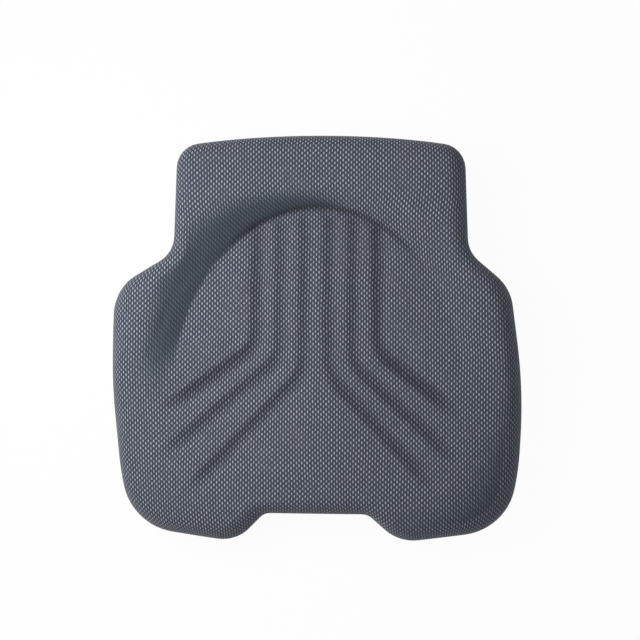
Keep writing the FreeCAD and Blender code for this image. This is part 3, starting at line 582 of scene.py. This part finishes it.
# %% [markdown]
# On a slope that runs down towards the right front, turned away from the lamp, the floats are
# drawn longer and leaning, as fine slanting ribs, and floats and ground get darker, cooler
# colours: painted shade. How much is stored for each point.
#
# Where a channel presses the cloth, or along the tuck, the colour is darkened: painted shade
# in these hollows. That share is stored as well.

# %% Where the floats sink, with painted shade
SINK_AND_SHADE_DIRECTION = math.radians(-22)      # the way downhill on which floats sink most and painted shade is darkest, turned from the lamp
SINK_AND_SHADE_FROM, SINK_AND_SHADE_TO = 0.06, 0.42        # slopes, rise over run
STEEPEST = 0.2           # the wall counts as no steeper than this
RIM_SINK_AND_SHADE = 0.35          # the rim's cloth is stretched, so its floats sink less and it gets less painted shade
CHANNEL_PAINTED_SHADE_LEVEL = 0.55      # share of colour left where painted shade darkens the pressed channels
TUCK_PAINTED_SHADE_LEVEL, TUCK_LINE_HALF_WIDTH, TUCK_LINE_HALF_LENGTH = 0.4, 3.4, 84.0     # and along the tuck, where a line of shade is painted

round_way = np.roll(outer, -1, 1) - np.roll(outer, 1, 1)
down_way = np.gradient(outer, axis=0)
normals = np.cross(down_way, round_way)
normals *= np.sign(normals[..., 2:])
normals /= np.maximum(np.linalg.norm(normals, axis=2, keepdims=True), 1e-9)
sink_and_shade_way = np.array([math.cos(SINK_AND_SHADE_DIRECTION), math.sin(SINK_AND_SHADE_DIRECTION)])
lean_downhill = normals[..., :2] @ sink_and_shade_way / np.maximum(normals[..., 2], STEEPEST)
top_places = places.transpose(2, 0, 1)
lean_downhill[:TOP_RINGS] = -(grid_lookup(slope_x, *top_places) * sink_and_shade_way[0]
                              + grid_lookup(slope_y, *top_places) * sink_and_shade_way[1])
how_sunk_and_shaded = smooth((lean_downhill - SINK_AND_SHADE_FROM) / (SINK_AND_SHADE_TO - SINK_AND_SHADE_FROM))
how_sunk_and_shaded[TOP_RINGS:] *= RIM_SINK_AND_SHADE
# Share of sunk floats; the same share paints shade on slopes turned from the lamp.
sunk_and_shade = np.zeros(len(cover.data.vertices))
sunk_and_shade[1:1 + how_sunk_and_shaded.size] = how_sunk_and_shaded.ravel()
cover.data.attributes.new("sunk_and_shade", "FLOAT", "POINT").data.foreach_set("value", sunk_and_shade)
# Painted shade: darker colour in the channels and along the tuck.
light_left_by_painted_shade = np.ones(len(cover.data.vertices))
in_channels = channel_depth(*top_places, CHANNEL_HALF_WIDTH) / DEEPEST_CHANNEL
in_tuck = tuck(*top_places, TUCK_LINE_HALF_WIDTH, TUCK_LINE_HALF_LENGTH)
painted_shade_in_hollows = np.maximum((1 - CHANNEL_PAINTED_SHADE_LEVEL) * in_channels, (1 - TUCK_PAINTED_SHADE_LEVEL) * in_tuck)
light_left_by_painted_shade[1:1 + TOP_RINGS * COLUMNS] = 1 - painted_shade_in_hollows.ravel()
cover.data.attributes.new("light_left_by_painted_shade", "FLOAT", "POINT").data.foreach_set("value", light_left_by_painted_shade)
print("floats sink on", round(float((sunk_and_shade > 0.5).mean()), 2), "of the cover's points")
print("cloth spans", np.ptp(weave[:outer.shape[0] * COLUMNS], axis=0).round(), "mm")

# %% [markdown]
# ## The foam
#
# The moulded block fills the cover. Under it is a stepped recess for the clips, the pan and
# the felt. It shows only through the vents, so its rings are coarse, but it is whole.

# %% Foam rings
pan_top = high_mm("seat_pan")[2]
felt_top = high_mm("foam_backing_felt")[2]
PAN_EDGE_RADIUS = 3.0
CLIP_INNER_RISE = 3.0        # the clip's inner wall stands this much over its outer one
FELT_MIDDLE_INSET = 60.0     # a last ring on the felt, from which the faces run to the middle
FOAM_RINGS = (56, 3, 3, 1)
foam_shrink = COVER_THICKNESS + SOFT_GAP
felt_inset = PAN_INSET + PAN_EDGE_RADIUS
foot_z = HEM_Z + foam_shrink
clip_top = high_mm("cover_clip_rear")[2] - CLIP_INNER_RISE + SOFT_GAP
recess = [
    (HEM_EDGE_INSET, foot_z),
    (HEM_EDGE_INSET, clip_top),
    (PAN_INSET - SOFT_GAP, clip_top),
    (PAN_INSET - SOFT_GAP, pan_top),
    (felt_inset, pan_top),
    (felt_inset, felt_top),
    (felt_inset + FELT_MIDDLE_INSET, felt_top),
]
foam_rings = list(skin(foam_shrink, *FOAM_RINGS))
foam_rings += [at_height(ring(distance, 0), z) for distance, z in recess]
foam = loft("foam_pad", np.array(foam_rings))

# %% [markdown]
# ## Ride and replace
#
# Both soft pieces stand for their plain solids in the frame and move with its one body.

# %% Soft pieces in the frame
for piece, node, slot in [(cover, "cover_fabric", "textile"), (foam, "foam_core", "foam")]:
    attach(piece, BODY)
    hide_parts(node)
    print(piece.name, "replaces", node)

# %% [markdown]
# ## Small helpers for materials
#
# Node trees get long. Three helpers keep them readable: one adds a node and joins what goes
# into it, one does a sum, and one starts a node group with named sockets.


# %% Node helpers
def rgb(red, green, blue):
    """A colour given as it shows on a screen, 0 to 255, turned into light values."""
    shares = [value / 255 for value in (red, green, blue)]
    return tuple(s / 12.92 if s <= 0.04045 else ((s + 0.055) / 1.055) ** 2.4 for s in shares) + (1,)


def add(tree, kind, inputs=None, **settings):
    """A node with its settings, and its inputs given as values or joined to sockets."""
    node = tree.nodes.new(kind)
    for name, value in settings.items():
        setattr(node, name, value)
    for name, value in (inputs or {}).items():
        if isinstance(value, bpy.types.NodeSocket):
            tree.links.new(value, node.inputs[name])
        else:
            node.inputs[name].default_value = value
    return node


def sum_of(tree, operation, *values):
    """A Math node's result."""
    inputs = dict(enumerate(values))
    return add(tree, "ShaderNodeMath", inputs, operation=operation).outputs[0]


def blend(tree, share, first, second):
    """A colour between two, by share."""
    node = add(tree, "ShaderNodeMix", data_type="RGBA")
    for socket, value in zip((node.inputs[0], node.inputs[6], node.inputs[7]),
                             (share, first, second)):
        if isinstance(value, bpy.types.NodeSocket):
            tree.links.new(value, socket)
        else:
            socket.default_value = value
    return node.outputs[2]


def ramp(tree, value, low, high, to_low=0.0, to_high=1.0, smooth_step=False):
    """A value moved from one range to another, and held there."""
    kind = "SMOOTHSTEP" if smooth_step else "LINEAR"
    inputs = {"Value": value, "From Min": low, "From Max": high, "To Min": to_low,
              "To Max": to_high}
    return add(tree, "ShaderNodeMapRange", inputs, interpolation_type=kind).outputs[0]


def start_group(name, inputs, outputs):
    """A node group with sockets given as name: (kind, default)."""
    group = bpy.data.node_groups.new(name, "ShaderNodeTree")
    for socket_name, (kind, default) in inputs.items():
        socket = group.interface.new_socket(socket_name, in_out="INPUT", socket_type=kind)
        if default is not None:
            socket.default_value = default
    for socket_name, kind in outputs.items():
        group.interface.new_socket(socket_name, in_out="OUTPUT", socket_type=kind)
    return group, group.nodes.new("NodeGroupInput").outputs, group.nodes.new("NodeGroupOutput").inputs


def start_material(name):
    """A material with its Principled shader, ready to be joined up."""
    material = bpy.data.materials.new(name)
    material.use_nodes = True
    tree = material.node_tree
    return material, tree, tree.nodes["Principled BSDF"]


def put_group(tree, group, inputs):
    """A node group placed in a tree."""
    return add(tree, "ShaderNodeGroup", inputs, node_tree=group).outputs


def dress(piece, material):
    """Gives a piece one material all over."""
    piece.data.materials.clear()
    piece.data.materials.append(material)


# %% [markdown]
# ## Grain
#
# Paint, rubber and plastic all have a fine skin: a slow change of tone and a small bump. They
# share one group, and each material gives it a size and a strength of its own.

# %% The grain group
FLOAT, COLOUR, VECTOR = "NodeSocketFloat", "NodeSocketColor", "NodeSocketVector"
grain, given, out = start_group(
    "surface_grain",
    {"Grain Size": (FLOAT, 1.0), "Patch Size": (FLOAT, 40.0), "Roughness": (FLOAT, 0.6)},
    {"Tone": FLOAT, "Patches": FLOAT, "Height": FLOAT},
)
place = add(grain, "ShaderNodeTexCoord").outputs["Object"]
fine_scale = sum_of(grain, "DIVIDE", 1.0 / MM, given["Grain Size"])
slow_scale = sum_of(grain, "DIVIDE", 1.0 / MM, given["Patch Size"])
fine = add(grain, "ShaderNodeTexNoise", {"Vector": place, "Scale": fine_scale, "Detail": 3.0,
                                         "Roughness": given["Roughness"]}).outputs["Fac"]
slow = add(grain, "ShaderNodeTexNoise", {"Vector": place, "Scale": slow_scale, "Detail": 4.0,
                                         "Roughness": 0.55}).outputs["Fac"]
grain.links.new(fine, out["Tone"])
grain.links.new(ramp(grain, slow, 0.3, 0.7), out["Patches"])
grain.links.new(fine, out["Height"])
print("group", grain.name)

# %% [markdown]
# ## The woven cloth
#
# The cloth is a dark ground with pale floats: short warp threads that come up over three
# picks and go down again. Each column is set half a repeat from the next. So two lattices of
# ellipses are laid over each other, and every float gets its own tone and width by chance,
# because yarn is never even. Under them a plain weave of fine threads fills the ground.

# %% The float group
COLUMN_REPEAT, ROW_REPEAT = 6.16, 5.86       # mm, across and along the warp
LATTICE_APART = 40       # keeps the two lattices' chances apart
WIDTH_SPREAD = 0.06      # how much single floats differ in width

floats, given, out = start_group(
    "woven_floats",
    {"Weave": (VECTOR, None), "Column Repeat": (FLOAT, COLUMN_REPEAT),
     "Row Repeat": (FLOAT, ROW_REPEAT), "Float Width": (FLOAT, 1.2),
     "Float Length": (FLOAT, 3.0), "Softness": (FLOAT, 0.5), "Lean": (FLOAT, 0.0)},
    {"Float": FLOAT, "Chance": FLOAT},
)


def float_lattice(shift):
    """One lattice of floats, moved by a share of its repeat: the mask and its chance."""
    parts = add(floats, "ShaderNodeSeparateXYZ", {0: given["Weave"]}).outputs
    cells = []
    offsets = []
    for part, repeat in ((parts[0], "Column Repeat"), (parts[1], "Row Repeat")):
        count = sum_of(floats, "DIVIDE", part, given[repeat])
        count = sum_of(floats, "ADD", count, shift)
        cell = sum_of(floats, "FLOOR", count)
        cells.append(cell)
        offset = sum_of(floats, "SUBTRACT", sum_of(floats, "SUBTRACT", count, cell), 0.5)
        offsets.append(sum_of(floats, "MULTIPLY", offset, given[repeat]))
    corner = add(floats, "ShaderNodeCombineXYZ", {0: cells[0], 1: cells[1], 2: shift * LATTICE_APART})
    chance = add(floats, "ShaderNodeTexWhiteNoise", {"Vector": corner.outputs[0]},
                 noise_dimensions="3D").outputs["Value"]
    swell = ramp(floats, chance, 0, 1, 1 - WIDTH_SPREAD, 1 + WIDTH_SPREAD)
    width = sum_of(floats, "MULTIPLY", given["Float Width"], swell)
    leant = sum_of(floats, "MULTIPLY", offsets[1], given["Lean"])
    x = sum_of(floats, "ADD", offsets[0], leant)
    x = sum_of(floats, "DIVIDE", x, sum_of(floats, "MULTIPLY", width, 0.5))
    y = sum_of(floats, "DIVIDE", offsets[1], sum_of(floats, "MULTIPLY", given["Float Length"], 0.5))
    away = sum_of(floats, "SQRT", sum_of(floats, "ADD", sum_of(floats, "MULTIPLY", x, x),
                                         sum_of(floats, "MULTIPLY", y, y)))
    edge = sum_of(floats, "ADD", 1.0, given["Softness"])
    inside = sum_of(floats, "SUBTRACT", 1.0, given["Softness"])
    mask = add(floats, "ShaderNodeMapRange",
               {"Value": away, "From Min": inside, "From Max": edge, "To Min": 1.0, "To Max": 0.0},
               interpolation_type="SMOOTHSTEP").outputs[0]
    return mask, chance


first, first_chance = float_lattice(0.0)
second, second_chance = float_lattice(0.5)
floats.links.new(sum_of(floats, "MAXIMUM", first, second), out["Float"])
nearer = sum_of(floats, "GREATER_THAN", second, first)
pick = add(floats, "ShaderNodeMix", {0: nearer, 2: first_chance, 3: second_chance}, data_type="FLOAT")
floats.links.new(pick.outputs[0], out["Chance"])
print("group", floats.name)

# %% [markdown]
# The material puts the floats over the ground. It lets the columns wander a little, because
# cloth is never pulled quite straight, and sinks the floats where that was stored, with darker
# floats and ground there as painted shade. It paints shade in the channels and the tuck as well.
# The threads are bump only: each stands up less than a millimetre. The larger form is in the mesh.

# %% The cloth material
WANDER = 0.8             # how far the columns drift from straight, mm
WANDER_SIZE = 70.0
FLOAT_WIDTH, FLOAT_LENGTH, FLOAT_SOFTNESS = 1.16, 3.0, 0.5
SUNK_LENGTH, SUNK_LEAN = 4.3, 0.4
THREADS_PER_COLUMN = 8
PICK_COARSER = 1.3       # the weft is this much coarser than the warp
YARN_RISE, GROUND_RISE, YARN_HEIGHT = 0.5, 0.12, 0.6
FLOAT_PALE = rgb(190, 193, 203)
FLOAT_DIM = rgb(165, 169, 179)
# Sunk floats are coloured darker and cooler: painted shade on slopes turned from the lamp.
FLOAT_SUNK_PAINTED_SHADE = rgb(90, 98, 110)
GROUND_DARK = rgb(41, 45, 57)
GROUND_THREAD = rgb(77, 81, 95)
# The ground there is cooler and a little darker: painted shade as well.
GROUND_SUNK_PAINTED_SHADE = rgb(51, 57, 68)
COOL_HUE, COOL_SATURATION = 0.488, 1.08      # the dye takes a little cooler in slow patches

cloth, tree, shader = start_material("woven_textile")
weave_map = add(tree, "ShaderNodeUVMap", uv_map="weave").outputs[0]
slow_place = add(tree, "ShaderNodeVectorMath", {0: weave_map, 1: (1 / WANDER_SIZE,) * 3},
                 operation="MULTIPLY").outputs[0]
drift = add(tree, "ShaderNodeTexNoise", {"Vector": slow_place, "Scale": 1.0, "Detail": 1.0},
            noise_dimensions="2D").outputs["Color"]
drift = add(tree, "ShaderNodeVectorMath", {0: drift, 1: (0.5, 0.5, 0.5)},
            operation="SUBTRACT").outputs[0]
drift = add(tree, "ShaderNodeVectorMath", {0: drift, 1: (WANDER * 4, WANDER * 2, 0.0)},
            operation="MULTIPLY").outputs[0]
thread_place = add(tree, "ShaderNodeVectorMath", {0: weave_map, 1: drift}, operation="ADD").outputs[0]
# Stored share that sinks the floats and paints shade on slopes turned from the lamp.
sinking_and_shade = add(tree, "ShaderNodeAttribute", attribute_name="sunk_and_shade").outputs["Fac"]
float_length = ramp(tree, sinking_and_shade, 0, 1, FLOAT_LENGTH, SUNK_LENGTH)
float_lean = ramp(tree, sinking_and_shade, 0, 1, 0.0, SUNK_LEAN)
woven = put_group(tree, floats, {"Weave": thread_place, "Column Repeat": COLUMN_REPEAT,
                                 "Row Repeat": ROW_REPEAT, "Float Width": FLOAT_WIDTH,
                                 "Float Length": float_length, "Softness": FLOAT_SOFTNESS,
                                 "Lean": float_lean})
sides = add(tree, "ShaderNodeSeparateXYZ", {0: thread_place}).outputs
THREAD_PITCH = COLUMN_REPEAT / THREADS_PER_COLUMN
waves = [sum_of(tree, "SINE", sum_of(tree, "MULTIPLY", side, math.tau / pitch))
         for side, pitch in ((sides[0], THREAD_PITCH), (sides[1], THREAD_PITCH * PICK_COARSER))]
thread = ramp(tree, sum_of(tree, "MULTIPLY", *waves), -1, 1)
tone = put_group(tree, grain, {"Grain Size": 0.5, "Patch Size": 45.0})
ground = blend(tree, thread, GROUND_DARK, GROUND_THREAD)
ground = blend(tree, sinking_and_shade, ground, GROUND_SUNK_PAINTED_SHADE)
pale = blend(tree, woven["Chance"], FLOAT_DIM, FLOAT_PALE)
pale = blend(tree, sinking_and_shade, pale, FLOAT_SUNK_PAINTED_SHADE)
colour = blend(tree, woven["Float"], ground, pale)
cool = add(tree, "ShaderNodeHueSaturation",
           {"Color": colour, "Hue": COOL_HUE, "Saturation": COOL_SATURATION})
colour = blend(tree, tone["Patches"], colour, cool.outputs[0])
# Painted shade in the channels and along the tuck darkens the colour here.
kept = add(tree, "ShaderNodeAttribute", attribute_name="light_left_by_painted_shade").outputs["Fac"]
shaded = add(tree, "ShaderNodeHueSaturation", {"Color": colour, "Value": kept}).outputs[0]
tree.links.new(shaded, shader.inputs["Base Color"])
height = sum_of(tree, "ADD", sum_of(tree, "MULTIPLY", woven["Float"], YARN_RISE),
                sum_of(tree, "MULTIPLY", thread, GROUND_RISE))
bump = add(tree, "ShaderNodeBump", {"Height": height, "Distance": YARN_HEIGHT * MM,
                                    "Strength": 0.6})
tree.links.new(bump.outputs[0], shader.inputs["Normal"])
tree.links.new(ramp(tree, woven["Float"], 0, 1, 0.9, 0.72), shader.inputs["Roughness"])
shader.inputs["Specular IOR Level"].default_value = 0.3
shader.inputs["Sheen Weight"].default_value = 0.12
shader.inputs["Sheen Roughness"].default_value = 0.5
dress(cover, cloth)
print("material", cloth.name)

# %% [markdown]
# Moulded foam has a closed, pale yellow skin that darkens unevenly with age. It is dull and
# shows only through the pan's vents, so a slow change of tone and a soft bump are enough.

# %% Foam material
foam_stuff, tree, shader = start_material("moulded_foam")
skin_tone = put_group(tree, grain, {"Grain Size": 0.8, "Patch Size": 30.0})
colour = blend(tree, skin_tone["Patches"], rgb(214, 203, 168), rgb(226, 217, 186))
tree.links.new(colour, shader.inputs["Base Color"])
bump = add(tree, "ShaderNodeBump", {"Height": skin_tone["Height"], "Distance": 0.5 * MM})
tree.links.new(bump.outputs[0], shader.inputs["Normal"])
shader.inputs["Roughness"].default_value = 0.95
dress(foam, foam_stuff)
print("material", foam_stuff.name)

# %% [markdown]
# ## Finishes of the frame's own parts
#
# The pan and rails are dip-coated black, the nuts and rivets zinc plated, and the small parts
# are plastic or rubber. They differ in tone, gloss and grain, so one function makes them all.


# %% Hard finishes
def grained(name, dark, light, roughness, grain_size, patch_size, depth, metallic=0.0):
    """A finish whose tone and gloss change slowly, with a fine bump."""
    material, tree, shader = start_material(name)
    skin_grain = put_group(tree, grain, {"Grain Size": grain_size, "Patch Size": patch_size})
    tree.links.new(blend(tree, skin_grain["Patches"], dark, light), shader.inputs["Base Color"])
    gloss = ramp(tree, skin_grain["Tone"], 0.3, 0.7, roughness - 0.06, roughness + 0.08)
    tree.links.new(gloss, shader.inputs["Roughness"])
    bump = add(tree, "ShaderNodeBump", {"Height": skin_grain["Height"], "Distance": depth * MM,
                                        "Strength": 0.5})
    tree.links.new(bump.outputs[0], shader.inputs["Normal"])
    shader.inputs["Metallic"].default_value = metallic
    return material


dip_coat = grained("dip_coat", rgb(26, 26, 28), rgb(36, 36, 38), 0.42, 1.6, 50.0, 0.05)
zinc = grained("zinc_plate", rgb(176, 176, 170), rgb(205, 205, 200), 0.34, 0.5, 6.0, 0.02, 1.0)
nylon = grained("moulded_nylon", rgb(30, 30, 31), rgb(38, 38, 40), 0.55, 0.5, 20.0, 0.06)
profile_plastic = grained("profile_plastic", rgb(34, 34, 36), rgb(44, 44, 46), 0.5, 0.9, 30.0, 0.05)
rubber = grained("buffer_rubber", rgb(24, 24, 25), rgb(38, 38, 38), 0.82, 0.7, 12.0, 0.08)
felt = grained("needle_felt", rgb(96, 94, 92), rgb(132, 130, 126), 0.95, 0.6, 5.0, 0.5)
finishes = {
    "seat_pan": dip_coat, "mount_rail_left": dip_coat, "mount_rail_right": dip_coat,
    "front_stiffener": dip_coat, "rear_stiffener": dip_coat, "weld_nuts": zinc,
    "rail_rivets": zinc, "switch_hole_plug": nylon, "rubber_buffers": rubber,
    "foam_backing_felt": felt,
}
for node_name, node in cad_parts.items():
    if node_name.startswith("cover_clip"):
        finishes[node_name] = profile_plastic
    if node_name in finishes:
        dress(node, finishes[node_name])
print(len(finishes), "frame nodes have a finish")

# %% [markdown]
# ## Floor, light and camera
#
# A pale floor that reads as white where nothing shades it, a large soft lamp close by on the
# rear left, and an even sky that fills the shadows. From below the floor is clear, like a
# glass table, so that the pan and the rails can be looked at.

# %% Floor
FLOOR_HALF = 8.0
WHITE_SHARE = 0.96       # the rest of the floor still shows its shadow


def seen_directly(tree):
    """1 for what the eye sees, itself or through a gloss or glass, and 0 for light's own ways."""
    path = add(tree, "ShaderNodeLightPath").outputs
    in_things = sum_of(tree, "MAXIMUM", path["Is Glossy Ray"], path["Is Transmission Ray"])
    return sum_of(tree, "MAXIMUM", path["Is Camera Ray"], in_things)


floor_mesh = bpy.data.meshes.new("floor")
floor_corners = [(x * FLOOR_HALF, y * FLOOR_HALF, 0) for x, y in ((-1, -1), (1, -1), (1, 1), (-1, 1))]
floor_mesh.from_pydata(floor_corners, [], [(0, 1, 2, 3)])
floor = bpy.data.objects.new("floor", floor_mesh)
bpy.context.scene.collection.objects.link(floor)
floor_stuff, tree, shader = start_material("floor_paper")
shader.inputs["Base Color"].default_value = (0.86, 0.86, 0.86, 1)
shader.inputs["Roughness"].default_value = 0.9
shader.inputs["Specular IOR Level"].default_value = 0.1
glow = add(tree, "ShaderNodeEmission", {"Color": (1, 1, 1, 1), "Strength": 1.0})
white = sum_of(tree, "MULTIPLY", seen_directly(tree), WHITE_SHARE)
mix = add(tree, "ShaderNodeMixShader", {0: white, 1: shader.outputs[0], 2: glow.outputs[0]})
from_below = add(tree, "ShaderNodeNewGeometry").outputs["Backfacing"]
clear = add(tree, "ShaderNodeBsdfTransparent")
sheet = add(tree, "ShaderNodeMixShader", {0: from_below, 1: mix.outputs[0], 2: clear.outputs[0]})
tree.links.new(sheet.outputs[0], tree.nodes["Material Output"].inputs[0])
floor_mesh.materials.append(floor_stuff)
print("floor", 2 * FLOOR_HALF, "m wide")

# %% [markdown]
# The sky is dim for the cushion and bright for the eye: one strength lights things, another is
# seen behind them. The lamp stands close, so that it is brighter on the rear left, as from a
# window.

# %% World and lamps
SKY_STRENGTH = 0.31
world = bpy.data.worlds.new("studio")
bpy.context.scene.world = world
world.use_nodes = True
tree = world.node_tree
sky = tree.nodes["Background"]
sky.inputs[0].default_value = (1, 1, 1, 1)
sky.inputs[1].default_value = SKY_STRENGTH
BACKDROP_STRENGTH = 0.972    # as bright as the far floor, so that no horizon shows
backdrop = add(tree, "ShaderNodeBackground", {0: (1, 1, 1, 1), 1: BACKDROP_STRENGTH})
mix = add(tree, "ShaderNodeMixShader",
          {0: seen_directly(tree), 1: sky.outputs[0], 2: backdrop.outputs[0]})
tree.links.new(mix.outputs[0], tree.nodes["World Output"].inputs[0])


def soft_lamp(name, azimuth, elevation, distance, size, power):
    """A square lamp that looks at the cushion; azimuth counts from +X towards +Y."""
    lamp = bpy.data.lights.new(name, "AREA")
    lamp.size = size
    lamp.energy = power
    lamp_object = bpy.data.objects.new(name, lamp)
    bpy.context.scene.collection.objects.link(lamp_object)
    a, e = math.radians(azimuth), math.radians(elevation)
    way = Vector((math.cos(a) * math.cos(e), math.sin(a) * math.cos(e), math.sin(e)))
    lamp_object.location = middle + way * distance
    lamp_object.rotation_mode = "QUATERNION"
    lamp_object.rotation_quaternion = way.to_track_quat("Z", "Y")
    return lamp_object


middle = (cad_low + cad_high) / 2
key = soft_lamp("key_lamp", azimuth=163, elevation=60, distance=0.82, size=0.45, power=5.7)
print(key.name, "gives", key.data.energy, "W")

# %% [markdown]
# The camera looks down almost plumb, from a little to the right and to the front, and from
# far enough that the sides don't show.

# %% Camera
CAMERA_DISTANCE = 1.6
CAMERA_LENS = 77.7
TILT_RIGHT = 5.44        # how far the camera stands to the right of straight above, degrees
TILT_FRONT = 0.9
ROLL = 0.12
AIM = Vector((5.0, 22.3, 60.0)) * MM
camera_data = bpy.data.cameras.new("camera")
camera_data.lens = CAMERA_LENS
camera = bpy.data.objects.new("camera", camera_data)
bpy.context.scene.collection.objects.link(camera)
bpy.context.scene.camera = camera
back = Vector((math.tan(math.radians(TILT_RIGHT)), -math.tan(math.radians(TILT_FRONT)), 1))
back.normalize()
right = Vector((0, 1, 0)).cross(back).normalized()
up = back.cross(right)
turned = Matrix.Rotation(math.radians(ROLL), 3, back)
right, up = turned @ right, turned @ up
camera.matrix_world = Matrix.Translation(AIM + back * CAMERA_DISTANCE) @ Matrix(
    (right, up, back)).transposed().to_4x4()
bpy.context.scene.view_settings.view_transform = "Standard"
print("camera at", [round(value, 3) for value in camera.location])
